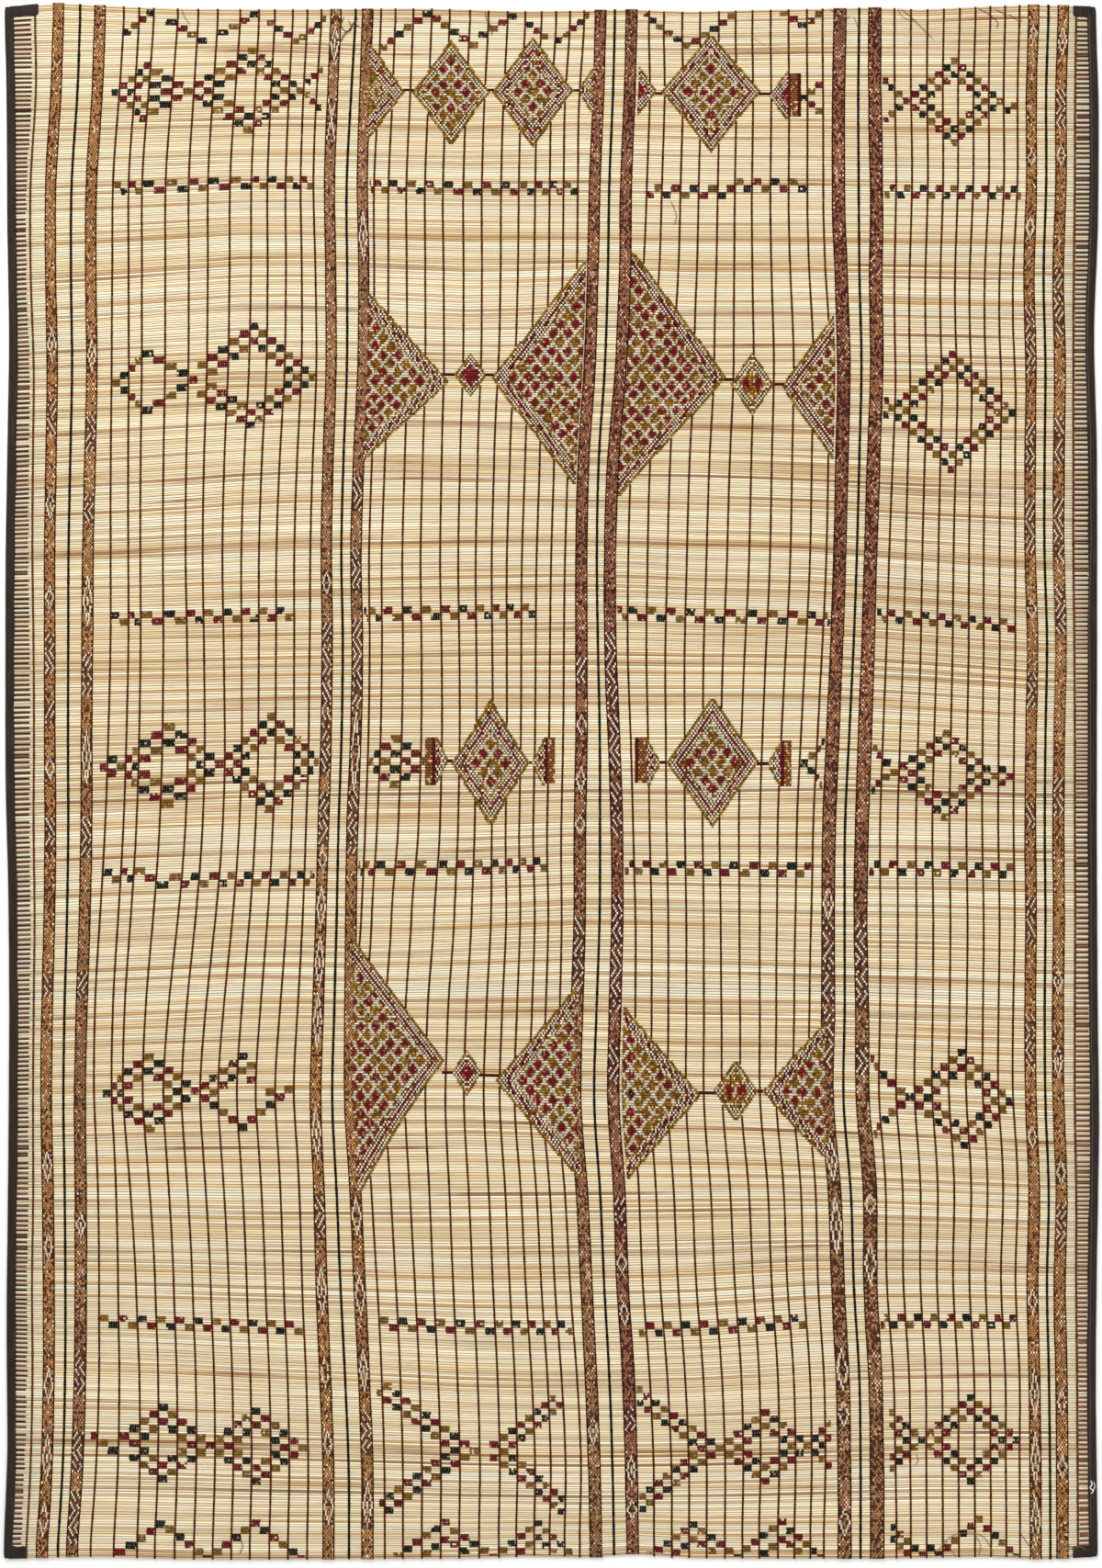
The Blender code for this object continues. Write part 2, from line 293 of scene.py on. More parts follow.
# How far the thongs of a panel swing from their even spacing: height y, then the
# swing (mm, + to the right) beside the panel's left band and beside its right band.
SWING = {
    1: ((1420, 0, 0), (1278, -1, -2), (994, -1, 2), (780, -5, 3), (568, -3, 1), (426, 0, 0),
        (213, 2, -4), (0, 1, -2), (-355, -5, -1), (-568, -2, -2), (-710, 2, 2), (-994, 0, 0),
        (-1136, 1, 1), (-1420, 0, 0)),
    2: ((1420, -5, 0), (1278, -2, -5), (1136, -2, -1), (852, -2, 0), (710, 1, -3), (568, 1, 1),
        (284, -1, -1), (-142, 0, -1), (-284, 0, 0), (-426, -6, 0), (-568, -2, -3), (-780, -3, -1),
        (-994, 0, 0), (-1278, -1, 4), (-1420, 0, -1)),
    3: ((1420, -3, -3), (1278, 2, 0), (994, 0, 1), (852, -5, 4), (710, -1, 2), (426, 0, 0),
        (213, -4, -2), (-142, 0, -1), (-355, 4, -4), (-568, 6, -3), (-710, 2, -1), (-923, -1, -1),
        (-1278, 2, 2), (-1420, 0, -1)),
    4: ((1420, -1, -2), (1136, 0, -1), (852, -2, -4), (710, 1, 1), (426, 0, 0), (284, -1, -3),
        (0, -1, -1), (-284, 0, 1), (-568, -1, -1), (-710, 0, 2), (-923, -3, 0), (-1136, -1, 3),
        (-1278, -1, 1), (-1420, 0, 1)),
}

# The four panels: the lines on either side, the bands that close them, and the
# x (mm) of their thongs at a few heights y (mm).
PANELS = {
    1: ("pair_a", "pair_b", 2, 3, (
        (1443, (-809.0, -780.1, -752.3, -706.9, -668.3, -631.3, -588.7, -553.3, -523.2, -489.2,
                -461.7, -435.1)),
        (1131, (-828.8, -799.2, -773.7, -729.5, -685.7, -649.4, -607.7, -567.4, -537.1, -502.7,
                -474.4, -450.2)),
        (435, (-834.0, -800.6, -777.7, -735.1, -692.2, -659.8, -622.5, -586.7, -553.3, -520.3,
                -486.6, -456.3)),
        (-86, (-844.1, -809.5, -784.8, -740.8, -691.8, -659.3, -621.1, -589.6, -558.7, -525.8,
                -490.2, -462.7)),
        (-607, (-864.2, -830.9, -809.0, -772.1, -733.3, -698.6, -663.7, -629.4, -594.0, -558.3,
                -521.5, -485.9)),
        (-955, (-856.2, -820.2, -786.2, -749.9, -714.8, -679.3, -644.9, -610.8, -576.6, -541.3,
                -506.7, -471.8)),
        (-1442, (-871.9, -828.2, -783.9, -750.4, -713.0, -676.5, -640.9, -605.8, -570.8, -533.8,
                -498.5, -462.2)),
    )),
    2: ("pair_b", "pair_c", 4, 5, (
        (1078, (-334.0, -306.7, -273.0, -238.0, -204.1, -165.7, -130.8, -94.5, -61.1, -30.3, -2.9,
                23.2, 50.0)),
        (435, (-344.9, -320.9, -282.0, -247.6, -210.6, -176.3, -143.3, -112.9, -84.2, -55.7,
                -27.9, -0.4, 25.8)),
        (-86, (-352.0, -329.6, -289.6, -251.1, -210.4, -176.1, -144.5, -112.0, -85.8, -59.9,
                -33.3, -7.0, 19.9)),
        (-260, (-360.2, -340.4, -303.0, -265.3, -222.4, -184.1, -151.3, -114.4, -85.6, -59.0,
                -31.5, -5.8, 19.6)),
        (-955, (-362.8, -329.3, -293.8, -257.8, -222.7, -185.5, -148.0, -110.3, -78.6, -48.2,
                -18.7, 6.9, 35.9)),
        (-1390, (-348.6, -315.2, -280.8, -245.1, -209.3, -174.1, -136.5, -99.3, -66.1, -32.2,
                -2.9, 25.5, 54.1)),
    )),
    3: ("pair_c", "pair_d", 6, 7, (
        (1078, (178.1, 206.9, 242.5, 277.0, 313.3, 345.9, 378.4, 413.6, 448.3, 483.8, 514.2)),
        (435, (145.7, 182.2, 219.8, 256.6, 293.8, 332.7, 374.5, 413.9, 452.5, 489.7, 520.6)),
        (-86, (155.5, 186.7, 218.7, 253.5, 286.9, 319.0, 355.7, 395.3, 429.2, 465.5, 496.5)),
        (-955, (174.2, 207.1, 240.8, 275.4, 310.7, 348.2, 383.0, 418.1, 447.6, 478.9, 505.7)),
        (-1390, (193.7, 227.6, 260.3, 293.6, 328.4, 361.6, 393.6, 429.2, 460.5, 490.9, 516.6)),
    )),
    4: ("pair_d", "pair_e", 8, 9, (
        (1443, (650.3, 681.6, 713.0, 744.1, 774.4, 804.3, 832.4, 860.6, 887.9)),
        (1131, (652.4, 682.6, 712.7, 741.7, 769.8, 799.0, 828.6, 857.3, 883.0)),
        (696, (648.9, 676.7, 708.3, 737.5, 766.7, 793.8, 821.6, 850.3, 877.3)),
        (435, (639.5, 670.4, 702.2, 732.5, 761.2, 790.4, 818.2, 848.2, 877.6)),
        (-86, (622.8, 655.8, 690.6, 721.5, 753.9, 785.8, 815.7, 846.0, 875.0)),
        (-607, (621.4, 653.7, 688.5, 721.9, 753.5, 786.2, 817.5, 847.0, 874.5)),
        (-955, (638.1, 669.0, 700.7, 731.6, 761.9, 792.4, 822.3, 851.2, 878.3)),
        (-1390, (653.2, 680.2, 710.1, 740.5, 770.7, 801.0, 831.2, 860.0, 885.8)),
    )),
}


def lane_x(name, y):
    return smooth_through([v * MM for v in LANE_Y], [v * MM for v in LANES[name]], y)


def band_x(number, y):
    lane, stations, offsets = BANDS[number]
    return lane_x(lane, y) + smooth_through([v * MM for v in stations],
                                            [v * MM for v in offsets], y)


def thong_x(panel, y):
    """x of every thong of a panel at heights y: one row for each y."""
    left, right, _, _, table = PANELS[panel]
    stations = np.array([row[0] for row in table]) * MM
    places = np.array([row[1] for row in table]) * MM
    a = lane_x(left, stations)[:, None]
    b = lane_x(right, stations)[:, None]
    share = (places - a) / (b - a)
    y = np.asarray(y, float)
    s = smooth_through(stations, share, y)
    rows = np.array(SWING[panel], float) * MM
    swing = smooth_through(rows[:, 0], rows[:, 1:], y)
    place = np.linspace(0.0, 1.0, share.shape[1])
    swing = swing[..., :1] * (1.0 - place) + swing[..., 1:] * place
    return lane_x(left, y)[..., None] + s * (lane_x(right, y) - lane_x(left, y))[..., None] + swing


def band_half(number, y):
    """Half the width of a band (m): the bands widen a little towards the foot."""
    share = np.clip((MID_Y + LENGTH / 2 - np.asarray(y, float)) / LENGTH, 0.0, 1.0)
    return (BAND_HALF[number] - 0.5 + 1.0 * share) * MM


def follow(line):
    """x and y of a line down the mat at every reed; line gives x for heights y."""
    x = line(ROW_Y)
    for _ in range(2):
        y = reed_y(np.arange(REEDS), x)
        x = line(y)
    return x, reed_y(np.arange(REEDS), x)


# ------------------------------------------------------------------- meshes
class Shape:
    """Gathers points and faces; each face corner has a colour and a map place."""

    def __init__(self):
        self.points = []
        self.count = 0
        self.faces = []      # (faces n x k, colours n x k x 3, map n x k x 2, smooth)

    def add(self, points, faces, colours, places, smooth=True):
        points = np.asarray(points, float).reshape(-1, 3)
        faces = np.asarray(faces, np.int64)
        n, k = faces.shape
        colours = np.broadcast_to(np.asarray(colours, float), (n, k, 3))
        places = np.broadcast_to(np.asarray(places, float), (n, k, 2))
        self.points.append(points)
        self.faces.append((faces + self.count, colours, places, smooth))
        self.count += len(points)

    def more(self, first, faces, colours, places, smooth=True):
        """Faces on points that are already in, counted from index first."""
        faces = np.asarray(faces, np.int64)
        n, k = faces.shape
        colours = np.broadcast_to(np.asarray(colours, float), (n, k, 3))
        places = np.broadcast_to(np.asarray(places, float), (n, k, 2))
        self.faces.append((faces + first, colours, places, smooth))

    def triangles(self):
        return sum(len(f[0]) * (f[0].shape[1] - 2) for f in self.faces)

    def build(self, name, material, slot):
        mesh = bpy.data.meshes.new(name)
        points = np.concatenate(self.points)
        mesh.vertices.add(len(points))
        mesh.vertices.foreach_set("co", points.astype(np.float32).ravel())
        corners = np.concatenate([f[0].ravel() for f in self.faces]).astype(np.int32)
        sizes = np.concatenate([np.full(len(f[0]), f[0].shape[1]) for f in self.faces])
        starts = np.concatenate([[0], np.cumsum(sizes)[:-1]]).astype(np.int32)
        smooth = np.concatenate([np.full(len(f[0]), f[3]) for f in self.faces])
        mesh.loops.add(len(corners))
        mesh.loops.foreach_set("vertex_index", corners)
        mesh.polygons.add(len(sizes))
        mesh.polygons.foreach_set("loop_start", starts)
        mesh.polygons.foreach_set("use_smooth", smooth)
        mesh.update(calc_edges=True)
        tint = mesh.color_attributes.new("tint", "FLOAT_COLOR", "CORNER")
        colours = np.ones((len(corners), 4), np.float32)
        colours[:, :3] = np.clip(np.concatenate([f[1].reshape(-1, 3) for f in self.faces]), 0, 1)
        tint.data.foreach_set("color", colours.ravel())
        layer = mesh.uv_layers.new(name="OFBake")
        places = np.concatenate([f[2].reshape(-1, 2) for f in self.faces])
        layer.data.foreach_set("uv", np.clip(places, 0.0005, 0.9995).astype(np.float32).ravel())
        mesh.materials.append(material)
        mesh.validate(clean_customdata=False)
        obj = bpy.data.objects.new(name, mesh)
        bpy.context.scene.collection.objects.link(obj)
        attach(obj, "root")
        return obj


def tubes(shape, rings, colours, places):
    """Closed tubes: rings m x r x k x 3, corner colours m x r x k x 3.

    places(m, r, k_edge) gives map corners: arrays broadcast to m x r x (k + 1) x 2.
    """
    m, r, k, _ = rings.shape
    index = np.arange(m * r * k).reshape(m, r, k)
    nxt = np.roll(index, -1, axis=2)
    colour_next = np.roll(colours, -1, axis=2)
    faces = np.stack([index[:, :-1], index[:, 1:], nxt[:, 1:], nxt[:, :-1]], axis=-1)
    tint = np.stack([colours[:, :-1], colours[:, 1:], colour_next[:, 1:], colour_next[:, :-1]], axis=-2)
    uv = np.stack([places[:, :-1, :-1], places[:, 1:, :-1], places[:, 1:, 1:], places[:, :-1, 1:]], axis=-2)
    first = shape.count
    shape.add(rings.reshape(-1, 3), faces.reshape(-1, 4), tint.reshape(-1, 4, 3), uv.reshape(-1, 4, 2))
    for end, order in ((0, slice(None)), (-1, slice(None, None, -1))):
        ring = index[:, end, order]
        tint_end = colours[:, end, order]
        spot = places[:, end, :-1][:, order]
        middle = spot.mean(axis=1, keepdims=True)
        size = 0.25 * (places[:, 1, :1] - places[:, 0, :1])
        turn = np.linspace(0, 2 * np.pi, k, endpoint=False)[None, :]
        out = np.zeros_like(spot)
        out[..., 0] = middle[..., 0] + 0.0015 * np.cos(turn) + (-0.004 if end == 0 else 0.004)
        out[..., 1] = middle[..., 1] + (spot[..., 1] - middle[..., 1]) * 0.5
        shape.more(first, ring, tint_end, out, smooth=False)


def srgb(r, g, b):
    """A colour given as it looks on a screen, 0 to 255, as linear values."""
    c = np.array([r, g, b], float) / 255.0
    return np.where(c <= 0.04045, c / 12.92, ((c + 0.055) / 1.055) ** 2.4)


def bumpy(n, step, amount, rng=RNG):
    """Smooth random values, one for each of n places, about step places apart."""
    knots = rng.normal(0.0, amount, int(n / step) + 4)
    return np.interp(np.arange(n) / step, np.arange(len(knots)), knots)


# ------------------------------------------------------------------- colours
CREAM = srgb(253, 236, 198)
STRAW = srgb(238, 214, 166)
TAN = srgb(210, 173, 121)
PALE = srgb(255, 246, 216)
RUSSET = srgb(166, 120, 76)
PAINTED_GAP_SHADE = srgb(78, 46, 22)
THONG = srgb(88, 32, 9)
THONG_BLACK = srgb(26, 28, 18)
BAND_EDGE = srgb(58, 20, 12)
BROWN = srgb(112, 64, 26)
MAROON = srgb(118, 26, 32)
OCHRE = srgb(142, 100, 30)
RED = srgb(114, 26, 32)
GREENBLACK = srgb(24, 34, 30)
BLACK = srgb(16, 18, 8)
DOT = srgb(252, 238, 208)
DYED = (srgb(134, 96, 38), GREENBLACK, RED)


# --------------------------------------------------------------- the reeds
def build_reeds(material):
    segments = 19
    share = np.linspace(0.0, 1.0, segments + 1)
    rows = np.arange(REEDS)
    y_left = reed_y(rows, MID_X - WIDTH / 2 + 0.02)
    y_right = reed_y(rows, MID_X + WIDTH / 2 - 0.02)
    x_left = left_x(y_left) + 0.0045 + RNG.uniform(0, 0.0015, REEDS)
    x_right = right_x(y_right) - 0.0045 - RNG.uniform(0, 0.0015, REEDS)
    x = x_left[:, None] + share[None, :] * (x_right - x_left)[:, None]
    y = reed_y(rows[:, None], x)
    pitch = reed_y(rows[:, None] - 0.5, x) - reed_y(rows[:, None] + 0.5, x)
    pitch = np.clip(pitch, 0.0030, 0.0062)
    wobble = np.stack([bumpy(segments + 1, 3.0, 0.00011) for _ in rows])
    y = y + wobble
    half_y = 0.520 * pitch * (1.0 + 0.03 * RNG.standard_normal((REEDS, 1)))
    half_y = half_y + np.stack([bumpy(segments + 1, 3.5, 0.00004) for _ in rows])
    half_z = REED_HALF_Z * (1.0 + 0.03 * RNG.standard_normal((REEDS, 1))) + 0.0 * x
    turns = np.radians((0, 42, 90, 138, 180, 270))
    # painted light and shade around each reed: full colour at the crest, the lower flank darker than the upper, the
    # sides in the painted gap shade, the bottom darkened
    painted_light_and_shade = np.array((0.0, 0.64, 1.0, 0.84, 0.0, 0.35))
    rings = np.empty((REEDS, segments + 1, 6, 3))
    rings[..., 0] = x[..., None]
    rings[..., 1] = y[..., None] - np.cos(turns) * half_y[..., None]
    rings[..., 2] = REED_Z + np.sin(turns) * half_z[..., None]

    kinds = np.array([CREAM, STRAW, TAN, PALE, RUSSET])
    base = kinds[RNG.choice(5, REEDS, p=(0.43, 0.29, 0.075, 0.195, 0.01))]
    other = kinds[RNG.choice(5, REEDS, p=(0.29, 0.31, 0.21, 0.14, 0.05))]
    blend = np.stack([bumpy(segments + 1, 1.4, 0.80) for _ in rows])
    blend = np.clip(0.22 + blend, 0, 1)[..., None]
    body = base[:, None] * (1 - blend) + other[:, None] * blend
    shade = 1.0 + np.stack([bumpy(segments + 1, 2.5, 0.08) for _ in rows])
    # the ends beside the bindings are cleaner and paler
    body[:, [0, -1]] = 0.45 * body[:, [0, -1]] + 0.55 * PALE
    body = body * shade[..., None]
    # painted shade in the gaps between reeds: dark where a gap is open, faint where it is closed
    faint = np.clip(0.14 + 0.26 * RNG.standard_normal((REEDS + 1, 1)), 0, 0.75)
    faint = np.clip(faint + np.stack([bumpy(segments + 1, 2.0, 0.14) for _ in range(REEDS + 1)]), 0, 0.8)
    dark = PAINTED_GAP_SHADE * (0.6 + 0.7 * RNG.random((REEDS + 1, 1, 1)))
    mean = body.mean(axis=0, keepdims=True)
    gap = dark * (1 - faint[..., None]) + 0.55 * mean * faint[..., None]
    above, below = gap[:-1], gap[1:]
    # each reed's flanks blend into the painted gap shade of the gap beside them
    side = np.stack([below, below, below, above, above, below], axis=2)
    colours = side * (1 - painted_light_and_shade[:, None]) + body[:, :, None, :] * painted_light_and_shade[:, None]

    shares = np.array((0.0, 0.22, 0.42, 0.62, 0.84, 0.91, 0.985))
    pieces = []
    edges = np.linspace(0, REEDS, 9).astype(int)
    for number, (a, b) in enumerate(zip(edges[:-1], edges[1:]), 1):
        m = b - a
        places = np.empty((m, segments + 1, 7, 2))
        places[..., 0] = (0.008 + 0.984 * share)[None, :, None]
        places[..., 1] = (np.arange(m)[:, None, None] + 0.008 + shares[None, None, :]) / m
        shape = Shape()
        tubes(shape, rings[a:b], colours[a:b], places)
        obj = shape.build(f"reeds_{number}", material, "reed")
        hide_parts("mat_body")
        y_hi = float(rings[a, :, :, 1].max())
        y_lo = float(rings[b - 1, :, :, 1].min())
        span = float((ROW_Y[a] - ROW_Y[b - 1]) + ROW_PITCH[a])
        pieces.append((obj, float((x_right - x_left)[a:b].mean()), span))
        COUNT[obj.name] = shape.triangles()
    return pieces


# ------------------------------------------------- strips across the reeds
def ring_rows(first, last):
    """Rows of a strip over reeds first to last: gap, crest, gap, crest, ... gap."""
    return np.arange(2 * (last - first + 1) + 1) / 2.0 + first - 0.5


def interp_rows(values, rows):
    return np.interp(rows, np.arange(REEDS), values)


def folded(column, columns, folds, rows, across):
    """Map places of a long strip laid out in folds side by side.

    rows: fractional reed rows of the rings; across: shares of the strip's width.
    Gives corner places for each face (ring, column).
    """
    faces = len(rows) - 1
    per = REEDS / folds
    mid = 0.5 * (rows[:-1] + rows[1:])
    fold = np.clip(np.floor((mid + 0.5) / per), 0, folds - 1)
    low = (rows[:-1] + 0.5 - fold * per) / per
    high = (rows[1:] + 0.5 - fold * per) / per
    width = 1.0 / (columns * folds)
    start = (column * folds + fold) * width
    out = np.empty((faces, len(across) - 1, 4, 2))
    left = start[:, None] + width * (0.06 + 0.88 * across[None, :-1])
    right = start[:, None] + width * (0.06 + 0.88 * across[None, 1:])
    a = 0.004 + 0.992 * np.clip(low, 0, 1)[:, None] + 0 * left
    b = 0.004 + 0.992 * np.clip(high, 0, 1)[:, None] + 0 * left
    out[:, :, 0] = np.stack([left, a], -1)
    out[:, :, 1] = np.stack([left, b], -1)
    out[:, :, 2] = np.stack([right, b], -1)
    out[:, :, 3] = np.stack([right, a], -1)
    return out


def thong(shape, x, y, first, last, half, colour, spread, column, columns, folds=8,
          crest=0.00580, sink=0.00525):
    """One thong over reeds first to last: a bead over each reed, drawn in between."""
    rows = np.arange(first, last + 2) - 0.5
    reeds = np.arange(first, last + 1)
    n = len(rows)
    px = interp_rows(x, rows)
    py = interp_rows(y, rows)
    py[rows < 0] = y[0] + 0.0022
    py[rows > REEDS - 1] = y[-1] - 0.0022
    wide = half * (1 + 0.07 * RNG.standard_normal(n))
    jog = 0.00010 * RNG.standard_normal(n)
    gaps = np.empty((n, 3, 3))
    gaps[:, :, 0] = (px + jog)[:, None] + wide[:, None] * np.array((-1.0, 0.0, 1.0))
    gaps[:, :, 1] = py[:, None]
    gaps[:, :, 2] = 0.00505
    gaps[:, 1, 2] = sink + 0.00006 * RNG.standard_normal(n)
    tops = np.column_stack([x[reeds] + 0.00008 * RNG.standard_normal(n - 1), y[reeds],
                            crest + 0.00006 * RNG.standard_normal(n - 1)])
    bead = np.clip(1.0 + spread * RNG.standard_normal(n - 1), 0.45, 1.9)
    # painted highlight on each bead's top, painted shade on its sides and in the gaps between reeds
    painted_highlight_top = 1.22 * colour[None, :] * bead[:, None]
    painted_shade_side = 0.72 * colour[None, :] * bead[:, None]
    painted_shade_gap = 0.50 * colour[None, :] * bead[:, None]
    l, m, r = (np.arange(n) * 3 + k for k in range(3))
    top = 3 * n + np.arange(n - 1)
    uv = folded(column, columns, folds, np.sort(np.concatenate([rows, reeds])),
                np.array((0.0, 0.42, 0.84, 1.0)))
    up, down = uv[0::2], uv[1::2]              # the two halves of each bead
    left_a, mid_a, right_a = up[:, 0, 0], up[:, 1, 0], up[:, 2, 0]
    left_b, mid_b, right_b = down[:, 0, 1], down[:, 1, 1], down[:, 2, 1]
    peak = up[:, 0, 2]
    faces, tints, places = [], [], []
    for a, b, pa, pb, ta, tb in (
            (l[:-1], l[1:], left_a, left_b, painted_shade_side, painted_shade_side),
            (r[1:], r[:-1], right_b, right_a, painted_shade_side, painted_shade_side),
            (m[:-1], l[:-1], mid_a, left_a, painted_shade_gap, painted_shade_side),
            (r[:-1], m[:-1], right_a, mid_a, painted_shade_side, painted_shade_gap),
            (l[1:], m[1:], left_b, mid_b, painted_shade_side, painted_shade_gap),
            (m[1:], r[1:], mid_b, right_b, painted_shade_gap, painted_shade_side)):
        faces.append(np.stack([a, b, top], -1))
        tints.append(np.stack([ta, tb, painted_highlight_top], -2))
        places.append(np.stack([pa, pb, peak], -2))
    first_point = shape.count
    shape.add(np.concatenate([gaps.reshape(-1, 3), tops]), np.concatenate(faces),
              np.concatenate(tints), np.concatenate(places))
    under = np.stack([l[:-1], r[:-1], r[1:], l[1:]], -1)
    spot = np.stack([up[:, 2, 0], up[:, 2, 3], down[:, 2, 2], down[:, 2, 1]], -2)
    shape.more(first_point, under, np.repeat(painted_shade_side[:, None], 4, 1), spot)
    small = np.array([[0, 0], [0.0004, 0.0004], [0.0008, 0.0]])
    shape.more(first_point, [[l[0], m[0], r[0]]], painted_shade_side[0], (left_a[0] + small * (1, -1))[None],
               smooth=False)
    shape.more(first_point, [[r[-1], m[-1], l[-1]]], painted_shade_side[-1], (left_b[-1] + small)[None],
               smooth=False)


def thong_runs(shape, x, y, half, colour, spread, column, columns, first=0, last=None,
               hidden=None, **more):
    """A thong in the stretches where nothing woven covers it."""
    last = REEDS - 1 if last is None else last
    open_rows = np.ones(REEDS, bool)
    open_rows[:first] = False
    open_rows[last + 1:] = False
    if hidden is not None:
        open_rows &= ~hidden
    i = 0
    while i < REEDS:
        if open_rows[i]:
            j = i
            while j + 1 < REEDS and open_rows[j + 1]:
                j += 1
            if j - i >= 1:
                thong(shape, x, y, i, j, half, colour, spread, column, columns, **more)
            i = j + 1
        else:
            i += 1


# --------------------------------------------------------------- the bands
# Where a band carries pale stitches: y from, y to (mm), and how they run.
DOTTED = {
    1: ((856, 797, "chevron"), (722, 658, "zigzag"), (548, 501, "chevron"), (366, 328, "lozenge"),
        (275, 206, "zigzag"), (150, 112, "zigzag"), (43, 8, "lozenge"), (-72, -142, "zigzag"),
        (-364, -408, "zigzag"), (-703, -755, "chevron"), (-859, -903, "lozenge"), (-1111, -1177,
        "lozenge"), (-1237, -1320, "chevron"), (-1365, -1428, "lozenge")),
    2: ((835, 779, "chevron"), (687, 627, "zigzag"), (540, 494, "zigzag"), (387, 296, "chevron"),
        (237, 164, "zigzag"), (91, 1, "chevron"), (-72, -142, "zigzag"), (-364, -408, "zigzag"),
        (-819, -859, "chevron"), (-1077, -1160, "zigzag"), (-1233, -1303, "zigzag"), (-1344,
        -1442, "zigzag")),
    3: ((1426, 1365, "chevron"), (1290, 1217, "turned"), (392, 357, "lozenge"), (296, 258,
        "zigzag"), (251, 140, "zigzag"), (126, 18, "zigzag"), (-23, -121, "zigzag"), (-129, -164,
        "lozenge"), (-201, -277, "chevron"), (-295, -390, "chevron"), (-408, -503, "chevron"),
        (-621, -715, "chevron"), (-781, -861, "zigzag"), (-920, -1007, "chevron"), (-1091, -1146,
        "lozenge"), (-1233, -1277, "lozenge"), (-1341, -1407, "lozenge")),
    4: ((1075, 988, "chevron"), (574, 514, "zigzag"), (435, 357, "zigzag"), (303, 140, "zigzag"),
        (129, -17, "lozenge"), (-23, -138, "zigzag"), (-790, -859, "lozenge"), (-934, -1011,
        "lozenge"), (-1077, -1150, "chevron"), (-1198, -1271, "zigzag"), (-1330, -1410,
        "chevron")),
    5: ((230, 189, "zigzag"), (123, 88, "lozenge"), (25, -17, "lozenge"), (-65, -95, "lozenge"),
        (-260, -390, "zigzag"), (-1207, -1254, "chevron")),
    6: ((282, 189, "zigzag"), (178, 133, "zigzag"), (123, 15, "zigzag"), (-3, -103, "zigzag"),
        (-216, -312, "zigzag"), (-321, -434, "zigzag"), (-503, -573, "zigzag"), (-790, -842,
        "zigzag"), (-896, -927, "lozenge"), (-990, -1025, "lozenge"), (-1184, -1226, "zigzag"),
        (-1278, -1330, "chevron"), (-1362, -1396, "lozenge")),
    7: ((-204, -260, "chevron"), (-267, -416, "zigzag"), (-434, -538, "zigzag"), (-677, -755,
        "chevron"), (-790, -894, "chevron"), (-1073, -1150, "lozenge"), (-1177, -1219, "lozenge"),
        (-1376, -1428, "lozenge")),
    8: ((-267, -425, "zigzag"), (-503, -555, "zigzag"), (-785, -819, "lozenge"), (-877, -948,
        "lozenge")),
    9: ((1430, 1400, "lozenge"), (1195, 1169, "lozenge"), (1065, 1033, "lozenge"), (894, 769,
        "zigzag"), (679, 588, "zigzag"), (531, 435, "zigzag"), (340, 310, "lozenge"), (201, 140,
        "zigzag"), (-44, -86, "zigzag"), (-222, -308, "zigzag"), (-442, -538, "zigzag"), (-656,
        -691, "lozenge"), (-964, -1004, "lozenge"), (-1111, -1207, "chevron"), (-1233, -1329,
        "chevron"), (-1355, -1445, "chevron")),
    10: ((1423, 1374, "chevron"), (1308, 1235, "zigzag"), (1200, 1169, "lozenge"), (967, 844,
        "zigzag"), (687, 606, "zigzag"), (531, 415, "zigzag"), (366, 279, "zigzag"), (4, -62,
        "zigzag"), (-355, -399, "chevron"), (-503, -559, "chevron"), (-722, -760, "lozenge"),
        (-799, -886, "zigzag"), (-1155, -1198, "lozenge"), (-1277, -1317, "lozenge")),
}
BAND_COLUMNS = 9
INNER = BAND_COLUMNS - 2
# Leathers of each band: edge, deep, mid, gold and pale beads.
WARM = (srgb(68, 28, 16), srgb(84, 46, 28), srgb(126, 82, 50), srgb(182, 134, 82), srgb(240, 210, 166))
DUSKY = (srgb(56, 22, 16), srgb(76, 44, 30), srgb(114, 76, 50), srgb(168, 124, 84), srgb(226, 188, 148))
WINE = (srgb(56, 18, 18), srgb(72, 34, 28), srgb(108, 64, 48), srgb(154, 106, 74), srgb(220, 178, 144))


def band_leathers(number, y):
    """The band's five leathers at heights y; the middle bands turn to brown low down."""
    first, last = {
        1: (WARM, WARM), 2: (WARM, DUSKY), 3: (DUSKY, WARM), 4: (DUSKY, WARM), 5: (WINE, DUSKY),
        6: (WINE, WINE), 7: (WINE, DUSKY), 8: (WINE, DUSKY), 9: (WARM, WARM), 10: (WARM, WARM),
    }[number]
    share = np.clip((0.35 - y) / 0.9, 0, 1)[:, None]
    return [a[None, :] * (1 - share) + b[None, :] * share for a, b in zip(first, last)]


